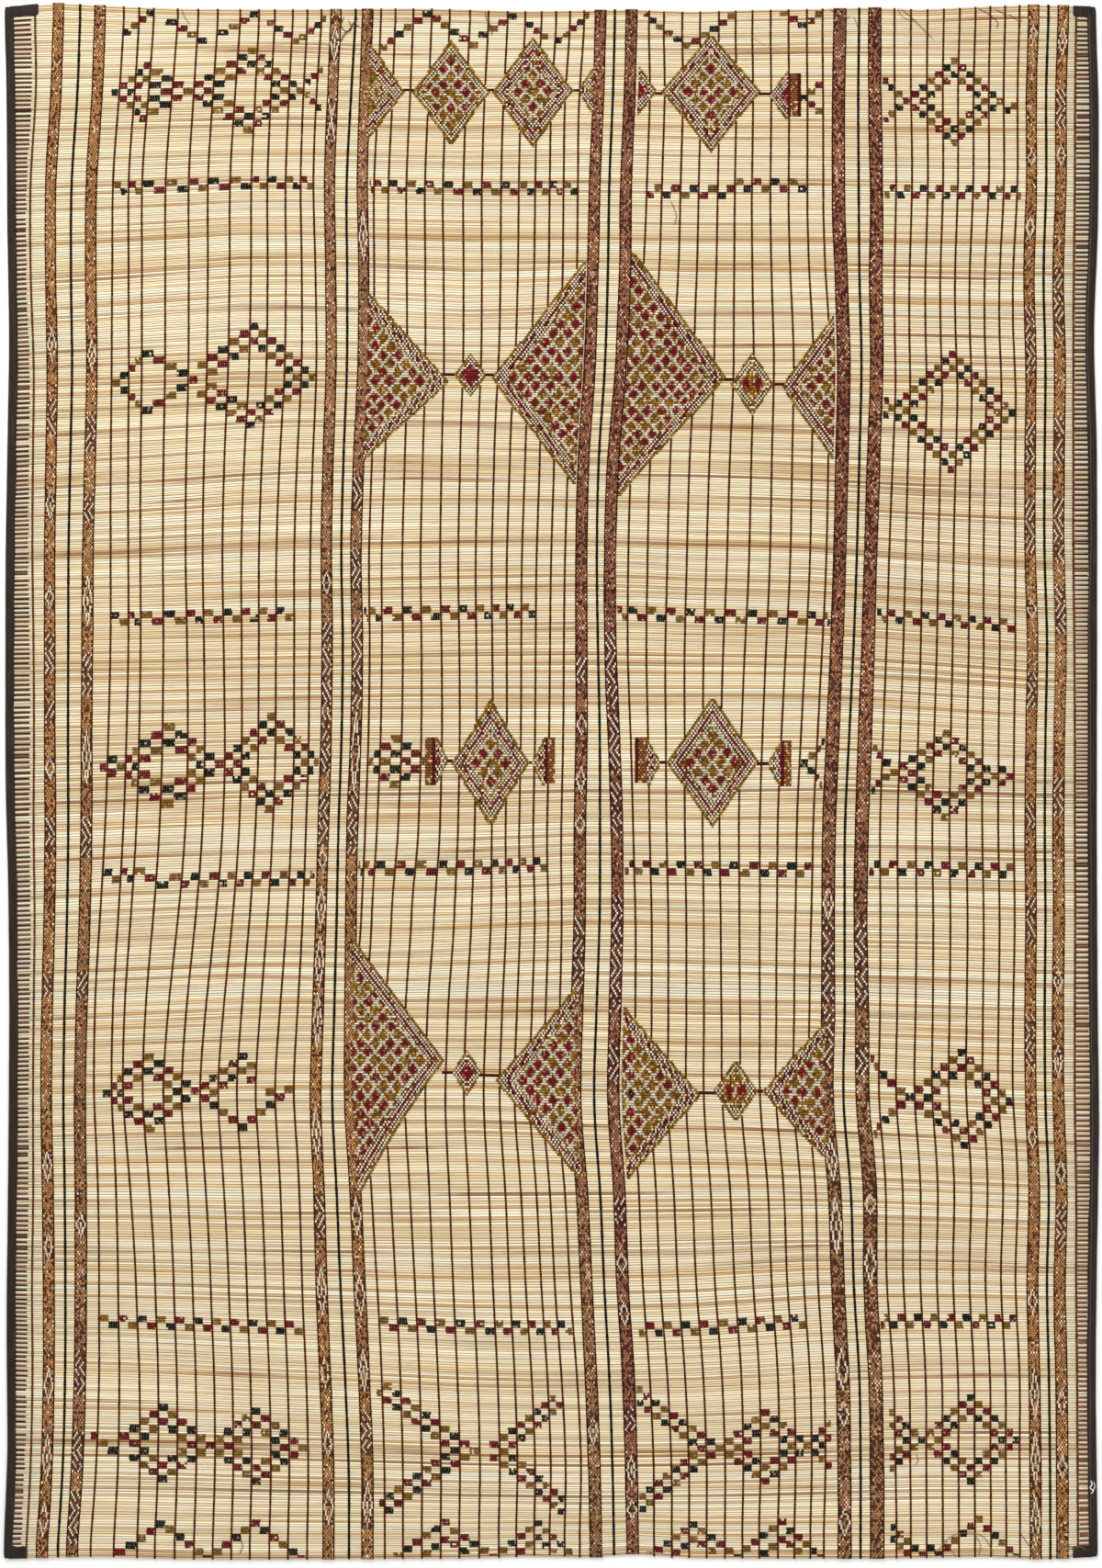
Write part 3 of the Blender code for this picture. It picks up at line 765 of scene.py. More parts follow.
def band_cells(number, y):
    """Colour of each cell of a band: REEDS x 9."""
    edge, deep, mid, gold, pale = band_leathers(number, y)
    cells = np.empty((REEDS, BAND_COLUMNS, 3))
    row = np.arange(REEDS)
    wave = bumpy(REEDS, 16, 0.10)
    light = {7: 0.34, 8: 0.32, 5: 0.40, 6: 0.40}.get(number, 0.50)
    for c in range(1, BAND_COLUMNS - 1):
        # plain weave: a bead on every second cell, shifted from reed to reed
        bead = (row + c) % 2 == 0
        pick = RNG.random(REEDS)
        golden = (bead & (pick < light + 0.34 + wave)) | (~bead & (pick < 0.10))
        whitish = bead & (pick < 0.10 + 0.6 * wave)
        plain = ~bead & (pick > 0.55)
        cells[:, c] = deep
        cells[plain, c] = mid[plain]
        cells[golden, c] = gold[golden]
        cells[whitish, c] = pale[whitish]
    cells *= (1.0 + 0.15 * RNG.standard_normal((REEDS, BAND_COLUMNS, 1))).clip(0.55, 1.5)
    cells *= (1.0 + bumpy(REEDS, 30, 0.07))[:, None, None]
    for column in (0, BAND_COLUMNS - 1):
        cells[:, column] = edge * (1.0 + 0.22 * RNG.standard_normal((REEDS, 1))).clip(0.4, 1.8)
    for y0, y1, kind in DOTTED.get(number, ()):
        a = int(np.argmin(np.abs(y - y0 * MM)))
        b = int(np.argmin(np.abs(y - y1 * MM)))
        length = max(b - a, 1)
        turned = 1 if (number + a) % 2 else -1
        for i in range(a, b + 1):
            t = i - a
            if kind == "zigzag":
                leg = INNER
                k = t % (2 * leg)
                k = k if k <= leg else 2 * leg - k
                for c in range(INNER):
                    cells[i, c + 1] = (deep if RNG.random() < 0.5 else mid)[i] * (0.65 + 0.45 * RNG.random())
                for lane in (-8, -4, 0, 4):
                    c = k + lane
                    if 0 <= c < INNER and RNG.random() < 0.86:
                        column = c + 1 if turned > 0 else INNER - c
                        cells[i, column] = DOT * (0.55 + 0.42 * RNG.random())
            else:
                half = 0.5 * INNER - 0.5
                rings = (0, 3) if kind == "chevron" else (0,)
                for c in range(INNER):
                    cells[i, c + 1] = (deep if RNG.random() < 0.6 else gold)[i] * (0.7 + 0.3 * RNG.random())
                for ring in rings:
                    rise = half * (1.0 - abs(2.0 * t / length - 1.0)) - ring * 0.9
                    if kind == "turned":
                        rise = half * abs(2.0 * t / length - 1.0)
                    if rise < -0.3:
                        continue
                    for side in (-1, 1):
                        column = int(round(1 + half + side * max(rise, 0)))
                        if 1 <= column <= INNER and RNG.random() < 0.95:
                            cells[i, column] = DOT * (0.55 + 0.42 * RNG.random())
    return cells


def build_band(shape, number, column, columns):
    x, y = follow(lambda h: band_x(number, h))
    rows = ring_rows(0, REEDS - 1)
    n = len(rows)
    is_crest = (np.arange(n) % 2 == 1)
    px = interp_rows(x, rows)
    py = np.interp(rows, np.arange(REEDS), y)
    py[0] = y[0] + 0.0022
    py[-1] = y[-1] - 0.0022
    half = band_half(number, py)[:, None] * (1.0 + bumpy(n, 26, 0.018)[:, None])
    edge = 0.0027
    share = np.linspace(-1.0, 1.0, INNER + 1)[None, :]
    marks = np.concatenate([-half, share * (half - edge), half], axis=1)
    marks[:, 1:-1] += 0.00014 * RNG.standard_normal((n, INNER + 1))
    marks[:, [0, -1]] += 0.00022 * RNG.standard_normal((n, 2))
    points = BAND_COLUMNS + 1
    rise = np.array([0.0, 0.95] + [0.88, 0.97] * ((INNER - 1) // 2) + [0.95, 0.0])
    top = np.where(is_crest, 0.00588, 0.00512)[:, None]
    low = np.where(is_crest, 0.00512, 0.0044)[:, None]
    rings = np.empty((n, points, 3))
    rings[..., 0] = px[:, None] + marks
    rings[..., 1] = py[:, None]
    rings[..., 2] = low + (top - low) * rise + 0.00005 * RNG.standard_normal((n, points))
    cells = band_cells(number, y)
    reed = np.clip(np.arange(n - 1) // 2, 0, REEDS - 1)
    tint = cells[reed]                                  # faces x 9 x 3
    # painted highlight on the crest over each reed and painted shade in the gaps between reeds
    start = np.where(is_crest[:-1], 1.18, 0.62)[:, None, None]
    stop = np.where(is_crest[1:], 1.18, 0.62)[:, None, None]
    tints = np.stack([tint * start, tint * stop, tint * stop, tint * start], -2)
    index = np.arange(n * points).reshape(n, points)
    faces = np.stack([index[:-1, :-1], index[1:, :-1], index[1:, 1:], index[:-1, 1:]], -1)
    across = np.concatenate([np.linspace(0, 0.93, points), [1.0]])
    uv = folded(column, columns, 4, rows, across)
    first = shape.count
    shape.add(rings.reshape(-1, 3), faces.reshape(-1, 4), tints.reshape(-1, 4, 3),
              uv[:, :points - 1].reshape(-1, 4, 2))
    under = np.stack([index[:-1, 0], index[:-1, -1], index[1:, -1], index[1:, 0]], -1)
    shape.more(first, under, BAND_EDGE * 0.8, uv[:, points - 1][:, [0, 3, 2, 1]])
    turn = np.arange(points) * 2 * math.pi / points
    spot = uv[0, points - 1, 3] + np.stack([0.0004 * np.cos(turn), 0.0004 * np.sin(turn)], -1)
    shape.more(first, [index[0]], BAND_EDGE, spot[None], smooth=False)
    spot = uv[-1, points - 1, 2] + (spot - spot.mean(0))
    shape.more(first, [index[-1][::-1]], BAND_EDGE, spot[None], smooth=False)
    return x, y


# ------------------------------------------------- wraps over single reeds
class Wraps:
    """Short wraps of dyed leather over single reeds, built together."""

    def __init__(self):
        self.rows, self.x0, self.x1, self.colour, self.sink = [], [], [], [], []

    def add(self, row, x0, x1, colour, sink=0.00508):
        self.rows.append(row)
        self.x0.append(x0)
        self.x1.append(x1)
        self.colour.append(colour)
        self.sink.append(sink)

    def shape(self):
        rows = np.array(self.rows, float)
        x0, x1 = np.array(self.x0), np.array(self.x1)
        colour = np.array(self.colour)
        m = len(rows)
        rings = np.empty((m, 2, 3, 3))
        for e, x in enumerate((x0, x1)):
            for k, offset in enumerate((+0.49, 0.0, -0.49)):
                rings[:, e, k, 0] = x
                rings[:, e, k, 1] = reed_y(rows + offset, x)
        sink = np.array(self.sink)
        rings[:, :, 0, 2] = sink[:, None]
        rings[:, :, 2, 2] = sink[:, None]
        rings[:, :, 1, 2] = (0.00590 + 0.0001 * RNG.standard_normal(m))[:, None]
        colours = np.repeat(colour[:, None, None, :], 2, 1)
        # painted highlight along each wrap's crest and painted shade on its front and back sides
        colours = np.repeat(colours, 3, 2) * np.array((0.62, 1.12, 0.62))[None, None, :, None]
        side = int(math.ceil(math.sqrt(m)))
        cell = 1.0 / side
        u = (np.arange(m) % side) * cell
        v = (np.arange(m) // side) * cell
        places = np.empty((m, 2, 4, 2))
        places[:, 0, :, 0] = (u + 0.16 * cell)[:, None]
        places[:, 1, :, 0] = (u + 0.84 * cell)[:, None]
        places[..., 1] = (v + 0.06 * cell)[:, None, None] + cell * np.array((0, 0.32, 0.64, 0.86))
        shape = Shape()
        index = np.arange(m * 6).reshape(m, 2, 3)
        nxt = np.roll(index, -1, axis=2)
        cn = np.roll(colours, -1, axis=2)
        faces = np.stack([index[:, 0], index[:, 1], nxt[:, 1], nxt[:, 0]], -1)
        tints = np.stack([colours[:, 0], colours[:, 1], cn[:, 1], cn[:, 0]], -2)
        uv = np.stack([places[:, 0, :-1], places[:, 1, :-1], places[:, 1, 1:], places[:, 0, 1:]], -2)
        shape.add(rings.reshape(-1, 3), faces.reshape(-1, 4), tints.reshape(-1, 4, 3), uv.reshape(-1, 4, 2))
        for e, order in ((0, [0, 1, 2]), (1, [2, 1, 0])):
            spot = np.empty((m, 3, 2))
            base_u = u + (0.02 if e == 0 else 0.88) * cell
            spot[:, :, 0] = base_u[:, None] + cell * np.array((0.0, 0.10, 0.0))
            spot[:, :, 1] = (v + 0.1 * cell)[:, None] + cell * np.array((0.0, 0.2, 0.4))
            shape.more(0, index[:, e][:, order], colours[:, e][:, order], spot, smooth=False)
        return shape


# Wrapped squares, in half spaces between thongs and steps of three reeds.
#   ring: x, y of the middle (mm), radius in steps, 1 outline or 2
#   line: x, y of the first square, step across, step down, number of squares
#   dash: y of a double row of squares, which half leads, x from, to, step of the
#         colours, first colour; then where it jogs: x, reeds to shift, which half
#   cell: x, y of one square
SQUARES = {
    1: (
        ("dash", 1131, 0, -828, -449, 1, 0),
        ("dash", 314, 0, -836, -491, -1, 1),
        ("dash", -169, 0, -849, -440, -1, 1, -751, 1, 1),
        ("dash", -1025, 0, -852, -470, 1, 0),
        ("line", -803, 1419, 1, -1, 4),
        ("line", -739, 1447, 1, 1, 5),
        ("line", -643, 1407, 1, -1, 5),
        ("line", -546, 1447, 1, 1, 5),
        ("line", -470, 1407, 1, -1, 4),
        ("ring", -765, 1303, 4, 2),
        ("ring", -572, 1308, 6, 2),
        ("line", -461, 1322, 1, -1, 3),
        ("line", -461, 1299, 1, 1, 3),
        ("ring", -772, 753, 4, 1),
        ("ring", -569, 762, 7, 2),
        ("cell", -852, 25),
        ("cell", -835, 39),
        ("cell", -838, 15),
        ("cell", -814, 29),
        ("ring", -718, 29, 5, 2),
        ("ring", -534, 34, 6, 2),
        ("ring", -760, -590, 5, 2),
        ("line", -659, -574, 1, -1, 5),
        ("cell", -570, -536),
        ("line", -640, -588, 1, -1, 4),
        ("cell", -570, -567),
        ("line", -659, -600, 1, 1, 5),
        ("line", -567, -642, 1, -1, 5),
        ("cell", -531, -587),
        ("line", -862, -1237, 1, 1, 3),
        ("ring", -734, -1252, 5, 2),
        ("ring", -558, -1259, 5, 2),
        ("line", -824, -1459, 1, -1, 5),
        ("line", -722, -1416, 1, 1, 5),
        ("line", -633, -1459, 1, -1, 5),
        ("line", -543, -1419, 1, 1, 5),
    ),
    2: (
        ("dash", 1122, 0, -352, 48, 1, 0),
        ("dash", 321, 0, -364, -30, 1, 1),
        ("dash", -161, 0, -374, -11, -1, 2),
        ("dash", -1030, 0, -329, 38, -1, 0),
        ("line", -320, 1390, 1, -1, 6),
        ("line", -219, 1442, 1, 1, 5),
        ("line", -143, 1402, 1, -1, 5),
        ("line", -54, 1442, 1, 1, 4),
        ("line", 13, 1402, 1, -1, 5),
        ("ring", -296, 37, 3, 2),
        ("line", -341, 37, 2, 0, 3),
        ("line", -146, -1266, -1, -1, 10),
        ("line", -181, -1266, -1, -1, 9),
        ("line", -160, -1280, -1, 1, 9),
        ("line", -195, -1280, -1, 1, 8),
        ("line", -129, -1268, 1, -1, 9),
        ("line", -94, -1268, 1, -1, 8),
        ("line", -115, -1282, 1, 1, 9),
        ("line", -80, -1282, 1, 1, 7),
        ("line", -287, -1466, 1, -1, 6),
        ("line", -186, -1417, 1, 1, 5),
        ("line", -91, -1454, 1, -1, 5),
        ("line", -7, -1419, 1, 1, 4),
        ("line", -235, -1459, 1, -1, 3),
        ("line", -183, -1445, 1, 1, 2),
        ("line", -58, -1459, 1, -1, 3),
        ("line", -6, -1445, 1, 1, 2),
    ),
    3: (
        ("dash", 1115, 1, 177, 483, 1, 2, 345, -1, 0),
        ("dash", 314, 0, 116, 530, 1, 2),
        ("dash", -163, 1, 130, 491, -1, 2),
        ("dash", -1030, 0, 165, 478, -1, 0),
        ("line", 175, 1454, 1, 1, 6),
        ("line", 272, 1400, 1, -1, 5),
        ("line", 441, 1452, 1, 1, 3),
        ("line", 486, 1438, 1, -1, 2),
        ("line", 478, 1294, 1, -1, 3),
        ("line", 493, 1282, 1, 1, 2),
        ("line", 474, 32, 1, -1, 4),
        ("line", 490, 18, 1, 1, 3),
        ("line", 318, -1263, -1, -1, 10),
        ("line", 286, -1263, -1, -1, 8),
        ("line", 304, -1277, -1, 1, 9),
        ("line", 272, -1277, -1, 1, 8),
        ("ring", 403, -1261, 5, 2),
        ("line", 498, -1242, 1, -1, 3),
        ("line", 498, -1271, 1, 1, 3),
        ("line", 516, -1256, 1, -1, 2),
        ("line", 187, -1464, 1, -1, 6),
        ("line", 285, -1417, 1, 1, 5),
        ("line", 370, -1452, 1, -1, 5),
        ("line", 451, -1417, 1, 1, 5),
        ("line", 234, -1459, 1, -1, 3),
        ("line", 286, -1445, 1, 1, 2),
        ("line", 401, -1459, 1, -1, 3),
        ("line", 453, -1445, 1, 1, 2),
    ),
    4: (
        ("dash", 1118, 1, 620, 886, -1, 0),
        ("dash", 307, 0, 608, 872, -1, 1),
        ("dash", -166, 1, 594, 872, -1, 2),
        ("dash", -1021, 1, 617, 879, 1, 2),
        ("line", 670, 1289, -1, -1, 4),
        ("line", 657, 1275, -1, 1, 3),
        ("ring", 761, 1287, 6, 2),
        ("line", 860, 1292, 1, 1, 2),
        ("cell", 862, 1268),
        ("line", 630, 720, 1, 1, 2),
        ("cell", 630, 691),
        ("ring", 757, 701, 8, 2),
        ("line", 634, 37, -1, -1, 3),
        ("line", 634, 10, -1, 1, 3),
        ("ring", 743, 15, 6, 2),
        ("line", 848, 22, 1, 1, 2),
        ("cell", 848, -1),
        ("line", 662, -587, -1, -1, 5),
        ("line", 662, -613, -1, 1, 5),
        ("ring", 776, -602, 6, 2),
        ("line", 686, -1233, -1, -1, 4),
        ("line", 684, -1261, -1, 1, 4),
        ("line", 670, -1247, -1, -1, 3),
        ("line", 657, -1263, -1, 1, 2),
        ("ring", 790, -1244, 6, 2),
        ("line", 643, -1412, 1, 1, 5),
        ("line", 644, -1436, 1, 1, 3),
        ("line", 733, -1463, 1, -1, 6),
        ("line", 822, -1412, 1, 1, 5),
        ("cell", 717, -1450),
    ),
}


def panel_marks(panel, row):
    """x of the half-space boundaries of a panel at one reed row."""
    left, right, band_a, band_b, _ = PANELS[panel]
    y = float(ROW_Y[row])
    for _ in range(2):
        mid = 0.5 * (float(lane_x(left, y)) + float(lane_x(right, y)))
        y = float(reed_y(row, mid))
    posts = [float(v) for v in thong_x(panel, np.array([y]))[0]]
    start = float(band_x(band_a, y)) + float(band_half(band_a, y))
    stop = float(band_x(band_b, y)) - float(band_half(band_b, y))
    posts = [start] + [p for p in posts if start + 0.004 < p < stop - 0.004] + [stop]
    marks = []
    for a, b in zip(posts[:-1], posts[1:]):
        marks += [(a, 0.5 * (a + b), 0), (0.5 * (a + b), b, 1)]
    return marks


_mark_cache = {}


def marks_at(panel, row):
    row = min(max(row, 0), REEDS - 1)
    if (panel, row) not in _mark_cache:
        _mark_cache[(panel, row)] = panel_marks(panel, row)
    return _mark_cache[(panel, row)]


def column_at(panel, row, x):
    marks = marks_at(panel, row)
    return int(np.argmin([abs(0.5 * (a + b) - x) for a, b, _ in marks]))


def same_column(panel, row_from, column, row_to):
    """The column at row_to that continues column at row_from (a lane may end)."""
    here, there = marks_at(panel, row_from), marks_at(panel, row_to)
    return column + (len(there) - len(here))


def wrap_square(wraps, panel, column, row, colour, taken):
    marks = marks_at(panel, row)
    if not 0 <= column < len(marks):
        return
    if (panel, column, row) in taken:
        return
    for dr in range(-3, 4):
        for dc in (-1, 0, 1):
            if abs(dr) < (3 if dc == 0 else 2) and (panel, column + dc, row + dr) in taken:
                return
    taken.add((panel, column, row))
    fade = 0.85 + 0.35 * RNG.random()
    for i in (row - 1, row, row + 1):
        if not 1 <= i <= REEDS - 2:
            continue
        a, b, half = marks_at(panel, i)[column]
        a, b = (a + 0.0019, b) if half == 0 else (a, b - 0.0019)
        a += RNG.normal(0, 0.0006)
        b += RNG.normal(0, 0.0006)
        parts = max(2, int(round((b - a) / 0.0044)))
        step = (b - a) / parts
        for k in range(parts):
            if RNG.random() < 0.02:
                continue
            tone = colour * fade * (0.70 + 0.6 * RNG.random())
            if RNG.random() < 0.07:
                tone = tone * 0.5 + 0.5 * srgb(206, 176, 136)
            slack = 0.00005 + 0.00030 * RNG.random(2)
            wraps.add(i, a + k * step + slack[0], a + (k + 1) * step - slack[1], tone)


def build_squares(wraps):
    taken = set()
    for panel, motifs in SQUARES.items():
        for number, motif in enumerate(motifs):
            kind, *v = motif
            turn = 1 if number % 2 else -1
            shift = int(RNG.integers(0, 3))
            if kind == "dash":
                y, lead, x_from, x_to, step, colour = v[:6]
                row = row_at(0.5 * (x_from + x_to) * MM, y * MM) - 1
                begin = None
                for upper in (0, 1):
                    at = row if upper == 0 else row + 3
                    for c, (a, b, half) in enumerate(marks_at(panel, at)):
                        middle = 0.5 * (a + b) / MM
                        if not x_from < middle < x_to:
                            continue
                        begin = c if begin is None else begin
                        jog, parity = 0, lead
                        if len(v) > 6 and middle > v[6]:
                            jog, parity = 3 * v[7], v[8]
                        if half == (parity + upper) % 2:
                            wrap_square(wraps, panel, c, at + jog, DYED[(step * (c - begin) + colour) % 3],
                                        taken)
                continue
            x, y = v[0] * MM, v[1] * MM
            row = row_at(x, y)
            column = column_at(panel, row, x)
            if kind == "cell":
                wrap_square(wraps, panel, column, row, DYED[(column + shift) % 3], taken)
            elif kind == "line":
                for k in range(v[4]):
                    r = row + 3 * k * v[3]
                    wrap_square(wraps, panel, same_column(panel, row, column + k * v[2], r), r,
                                DYED[(turn * (column + k * v[2]) + shift) % 3], taken)
            else:
                radius, lines = v[2], v[3]
                for ring in range(lines):
                    size = radius - 2 * ring
                    if size < 1:
                        continue
                    for dc in range(-size, size + 1):
                        for dr in {size - abs(dc), abs(dc) - size}:
                            r = row + 3 * dr
                            wrap_square(wraps, panel, same_column(panel, row, column + dc, r), r,
                                        DYED[(turn * (column + dc) + shift + ring) % 3], taken)


# ----------------------------------------------------------- fine diamonds
CELL = 0.0033
# kind, x and y of the middle, half width, half height (mm), filling
DIAMONDS = (
    ("half_right", -345, 1304, 66, 90, "gold_line"),
    ("whole", -190, 1303, 71, 97, "lattice"),
    ("whole", -35, 1303, 75, 101, "red_line"),
    ("half_left", 80, 1306, 28, 42, "gold_core"),
    ("half_right", 166, 1306, 31, 45, "red_core"),
    ("whole", 302, 1299, 92, 108, "red_line"),
    ("half_left", 446, 1299, 33, 42, "red_core"),
    ("half_right", -348, 769, 153, 156, "red_line"),
    ("whole", -153, 769, 28, 38, "small"),
    ("half_left", 57, 774, 169, 210, "red_line"),
    ("half_right", 144, 769, 186, 229, "red_line"),
    ("whole", 380, 753, 38, 57, "twin"),
    ("half_left", 535, 746, 97, 132, "red_line"),
    ("half_right", -218, 37, 21, 43, "red_core"),
    ("whole", -115, 37, 71, 116, "red_line"),
    ("half_left", -13, 37, 23, 43, "red_core"),
    ("half_right", 182, 37, 23, 42, "red_core"),
    ("whole", 305, 34, 85, 120, "red_line"),
    ("half_left", 434, 34, 23, 43, "red_core"),
    ("half_right", -376, -543, 170, 240, "red_line"),
    ("whole", -160, -552, 26, 42, "small"),
    ("half_left", 45, -573, 149, 182, "red_line"),
    ("half_right", 135, -590, 146, 160, "golden"),
    ("whole", 349, -587, 40, 54, "twin"),
    ("half_left", 517, -585, 115, 130, "red_line"),
)
# small woven blocks: x from, to, y from, to (mm), which sides are red
BLOCKS = (
    (446, 471, 1337, 1259, "left right"),
    (-239, -218, 81, -4, "right"),
    (-13, 8, 81, -1, "left"),
    (158, 182, 79, 1, "left"),
    (434, 455, 77, -6, "left"),
)
# thin dark links between neighbouring tips: x from, to, y (mm)
LINKS = (
    (-282, -256, 1306),
    (-127, -105, 1306),
    (31, 59, 1306),
    (194, 215, 1303),
    (385, 420, 1299),
    (-202, -172, 769),
    (-134, -105, 769),
    (325, 351, 759),
    (410, 444, 753),
    (-200, -181, 37),
    (-49, -30, 37),
    (199, 226, 34),
    (385, 417, 34),
    (-207, -179, -552),
    (-141, -100, -555),
    (278, 316, -587),
    (380, 406, -585),
)
COVER = [[] for _ in range(2000)]       # covered x ranges of each reed


# Rings of a fine diamond from its outline inwards: leather and cells across.
RINGS = {
    "line": (("gold", 1.9), ("white", 0.9), ("black", 1.0), ("white", 0.9), ("red", 1.8),
             ("white", 0.9), ("black", 0.9), ("white", 0.9), ("gold", 0.8)),
    "plain": (("gold", 2.0), ("white", 0.9), ("black", 1.0), ("white", 0.9), ("gold", 0.8)),
    "tip": (("gold", 1.3), ("white", 0.9), ("black", 0.9), ("white", 0.9), ("red", 1.2), ("white", 0.9)),
    "small": (("gold", 1.3), ("white", 0.9), ("black", 0.9), ("white", 0.9)),
}
# Filling of each kind: its rings, then what lies inside them.
FILLINGS = {
    "red_line": ("line", "lattice"), "gold_line": ("line", "eye"), "golden": ("line", "sparse"),
    "lattice": ("plain", "lattice"), "red_core": ("tip", "red"), "gold_core": ("tip", "gold"),
    "small": ("small", "red"), "twin": ("small", "twin"),
}
REPEAT_X, REPEAT_Y = 8.6, 7.3         # the lattice's repeat, in cells and reeds


def leather(kind):
    """One wrap of a leather: dull gold, dyed red, black or a pale bead."""
    vary = 0.7 + 0.6 * RNG.random()
    pick = RNG.random()
    if kind == "white":
        return DOT * (0.62 + 0.38 * RNG.random()) if pick < 0.90 else OCHRE * vary
    if kind == "pale":
        return DOT * (0.48 + 0.40 * RNG.random()) if pick < 0.84 else OCHRE * vary
    if kind == "dark":
        return (BROWN * 0.9 if pick < 0.42 else OCHRE * 0.85 if pick < 0.92 else DOT * 0.6) * vary
    if kind == "black":
        return (BLACK if pick < 0.66 else BROWN if pick < 0.82 else OCHRE * 0.8) * vary
    if kind == "red":
        return (MAROON if pick < 0.80 else srgb(184, 104, 96) if pick < 0.92 else BROWN * 0.6) * vary
    return (OCHRE if pick < 0.58 else BROWN if pick < 0.84 else srgb(186, 150, 74)) * vary


def lattice_kind(dx, di, first, sparse):
    """The charted repeat: lozenges in rows, each in a ring of pale beads."""
    u = dx / REPEAT_X + di / REPEAT_Y
    v = dx / REPEAT_X - di / REPEAT_Y
    iu, iv = round(u), round(v)
    level = REPEAT_X * max(abs(u - iu), abs(v - iv))
    row = iu - iv
    if level < 2.6:
        red = (row + first) % 3 != 1 if not sparse else (row * 2 + iu) % 5 == first % 5
        if (iu * 5 + iv * 3 + first) % 7 == 0:
            red = not red
        if sparse and iu == 0 and iv == 0:
            return "black"
        return "red" if red else "gold"
    return "dark" if level < 3.3 else "pale"


def diamond_colour(dx, di, a, b, filling, seed):
    """Colour of one cell of a fine diamond: dx cells and di reeds from its middle."""
    inside = a * (1.0 - abs(dx) / a - abs(di) / b) + 0.5
    rings, core = FILLINGS[filling]
    for kind, width in RINGS[rings]:
        if inside <= width:
            return leather(kind)
        inside -= width
    first = int(abs(seed)) % 5
    if core == "lattice" or core == "sparse":
        centre = 0.5 * REPEAT_X if a > 24 else 0.0
        return leather(lattice_kind(abs(dx) - centre, di, first, core == "sparse"))
    if core == "eye":
        level = abs(dx - 4.0) + abs(di) * 1.1
        return leather("white" if 2.6 < level < 3.7 or 5.2 < level < 6.3 else "gold")
    if core == "twin":
        return leather("red" if abs(abs(dx) - 3.2) + abs(di) * 0.8 < 2.8 else
                       "gold" if RNG.random() < 0.8 else "white")
    return leather(core)


def cell_row(shape, row, x0, n, colours, u0, u_scale, v_low, v_step):
    """One reed's worth of woven cells: a closed ridge of n cells from x0."""
    xs = x0 + CELL * np.arange(n + 1) + 0.00018 * RNG.standard_normal(n + 1)
    front = reed_y(row + 0.5, xs)
    crest = reed_y(row, xs)
    back = reed_y(row - 0.5, xs)
    rings = np.empty((n + 1, 3, 3))
    rings[:, :, 0] = xs[:, None]
    rings[:, 0, 1], rings[:, 1, 1], rings[:, 2, 1] = front, crest, back
    rings[:, 0, 2] = rings[:, 2, 2] = 0.00508
    rings[:, 1, 2] = 0.00590 + 0.00006 * RNG.standard_normal(n + 1)
    index = np.arange((n + 1) * 3).reshape(n + 1, 3)
    nxt = np.roll(index, -1, axis=1)
    faces = np.stack([index[:-1], index[1:], nxt[1:], nxt[:-1]], -1)      # n x 3 x 4
    # painted highlight along each cell row's crest and painted shade on its front and back
    level = np.array((0.60, 1.15, 0.60))
    level_next = np.roll(level, -1)
    tints = np.empty((n, 3, 4, 3))
    for k in range(3):
        tints[:, k, 0] = tints[:, k, 1] = colours * level[k]
        tints[:, k, 2] = tints[:, k, 3] = colours * level_next[k]
    u = u0 + (xs - x0) * u_scale
    v = v_low + v_step * np.array((0.02, 0.42, 0.82, 0.97))
    uv = np.empty((n, 3, 4, 2))
    uv[:, :, 0, 0] = uv[:, :, 3, 0] = u[:-1, None]
    uv[:, :, 1, 0] = uv[:, :, 2, 0] = u[1:, None]
    uv[:, :, 0, 1] = uv[:, :, 1, 1] = v[None, :3]
    uv[:, :, 2, 1] = uv[:, :, 3, 1] = v[None, 1:]
    first = shape.count
    shape.add(rings.reshape(-1, 3), faces.reshape(-1, 4), tints.reshape(-1, 4, 3), uv.reshape(-1, 4, 2))
    small = np.array([[0, 0], [0.0005, 0.4], [0.0, 0.8]]) * np.array((1.0, v_step))
    # end caps darkened as painted shade
    shape.more(first, [index[0]], colours[0] * 0.7, (np.array((u[0] - 0.0007, v[0])) + small)[None], smooth=False)
    shape.more(first, [index[-1][::-1]], colours[-1] * 0.7, (np.array((u[-1] + 0.0002, v[0])) + small)[None], smooth=False)


SHELVES = 170           # reeds with woven cells kept in one column of the UV map


def shelf(slots, row, x, box):
    """Place in the UV map for a reed's cells from x: u, u per metre, v, v step."""
    slot = slots.setdefault(row, len(slots))
    scale = 0.48 / (box[1] - box[0])
    u = 0.5 * (slot // SHELVES) + 0.01 + (x - box[0]) * scale
    return u, scale, (slot % SHELVES) / SHELVES, 1.0 / SHELVES


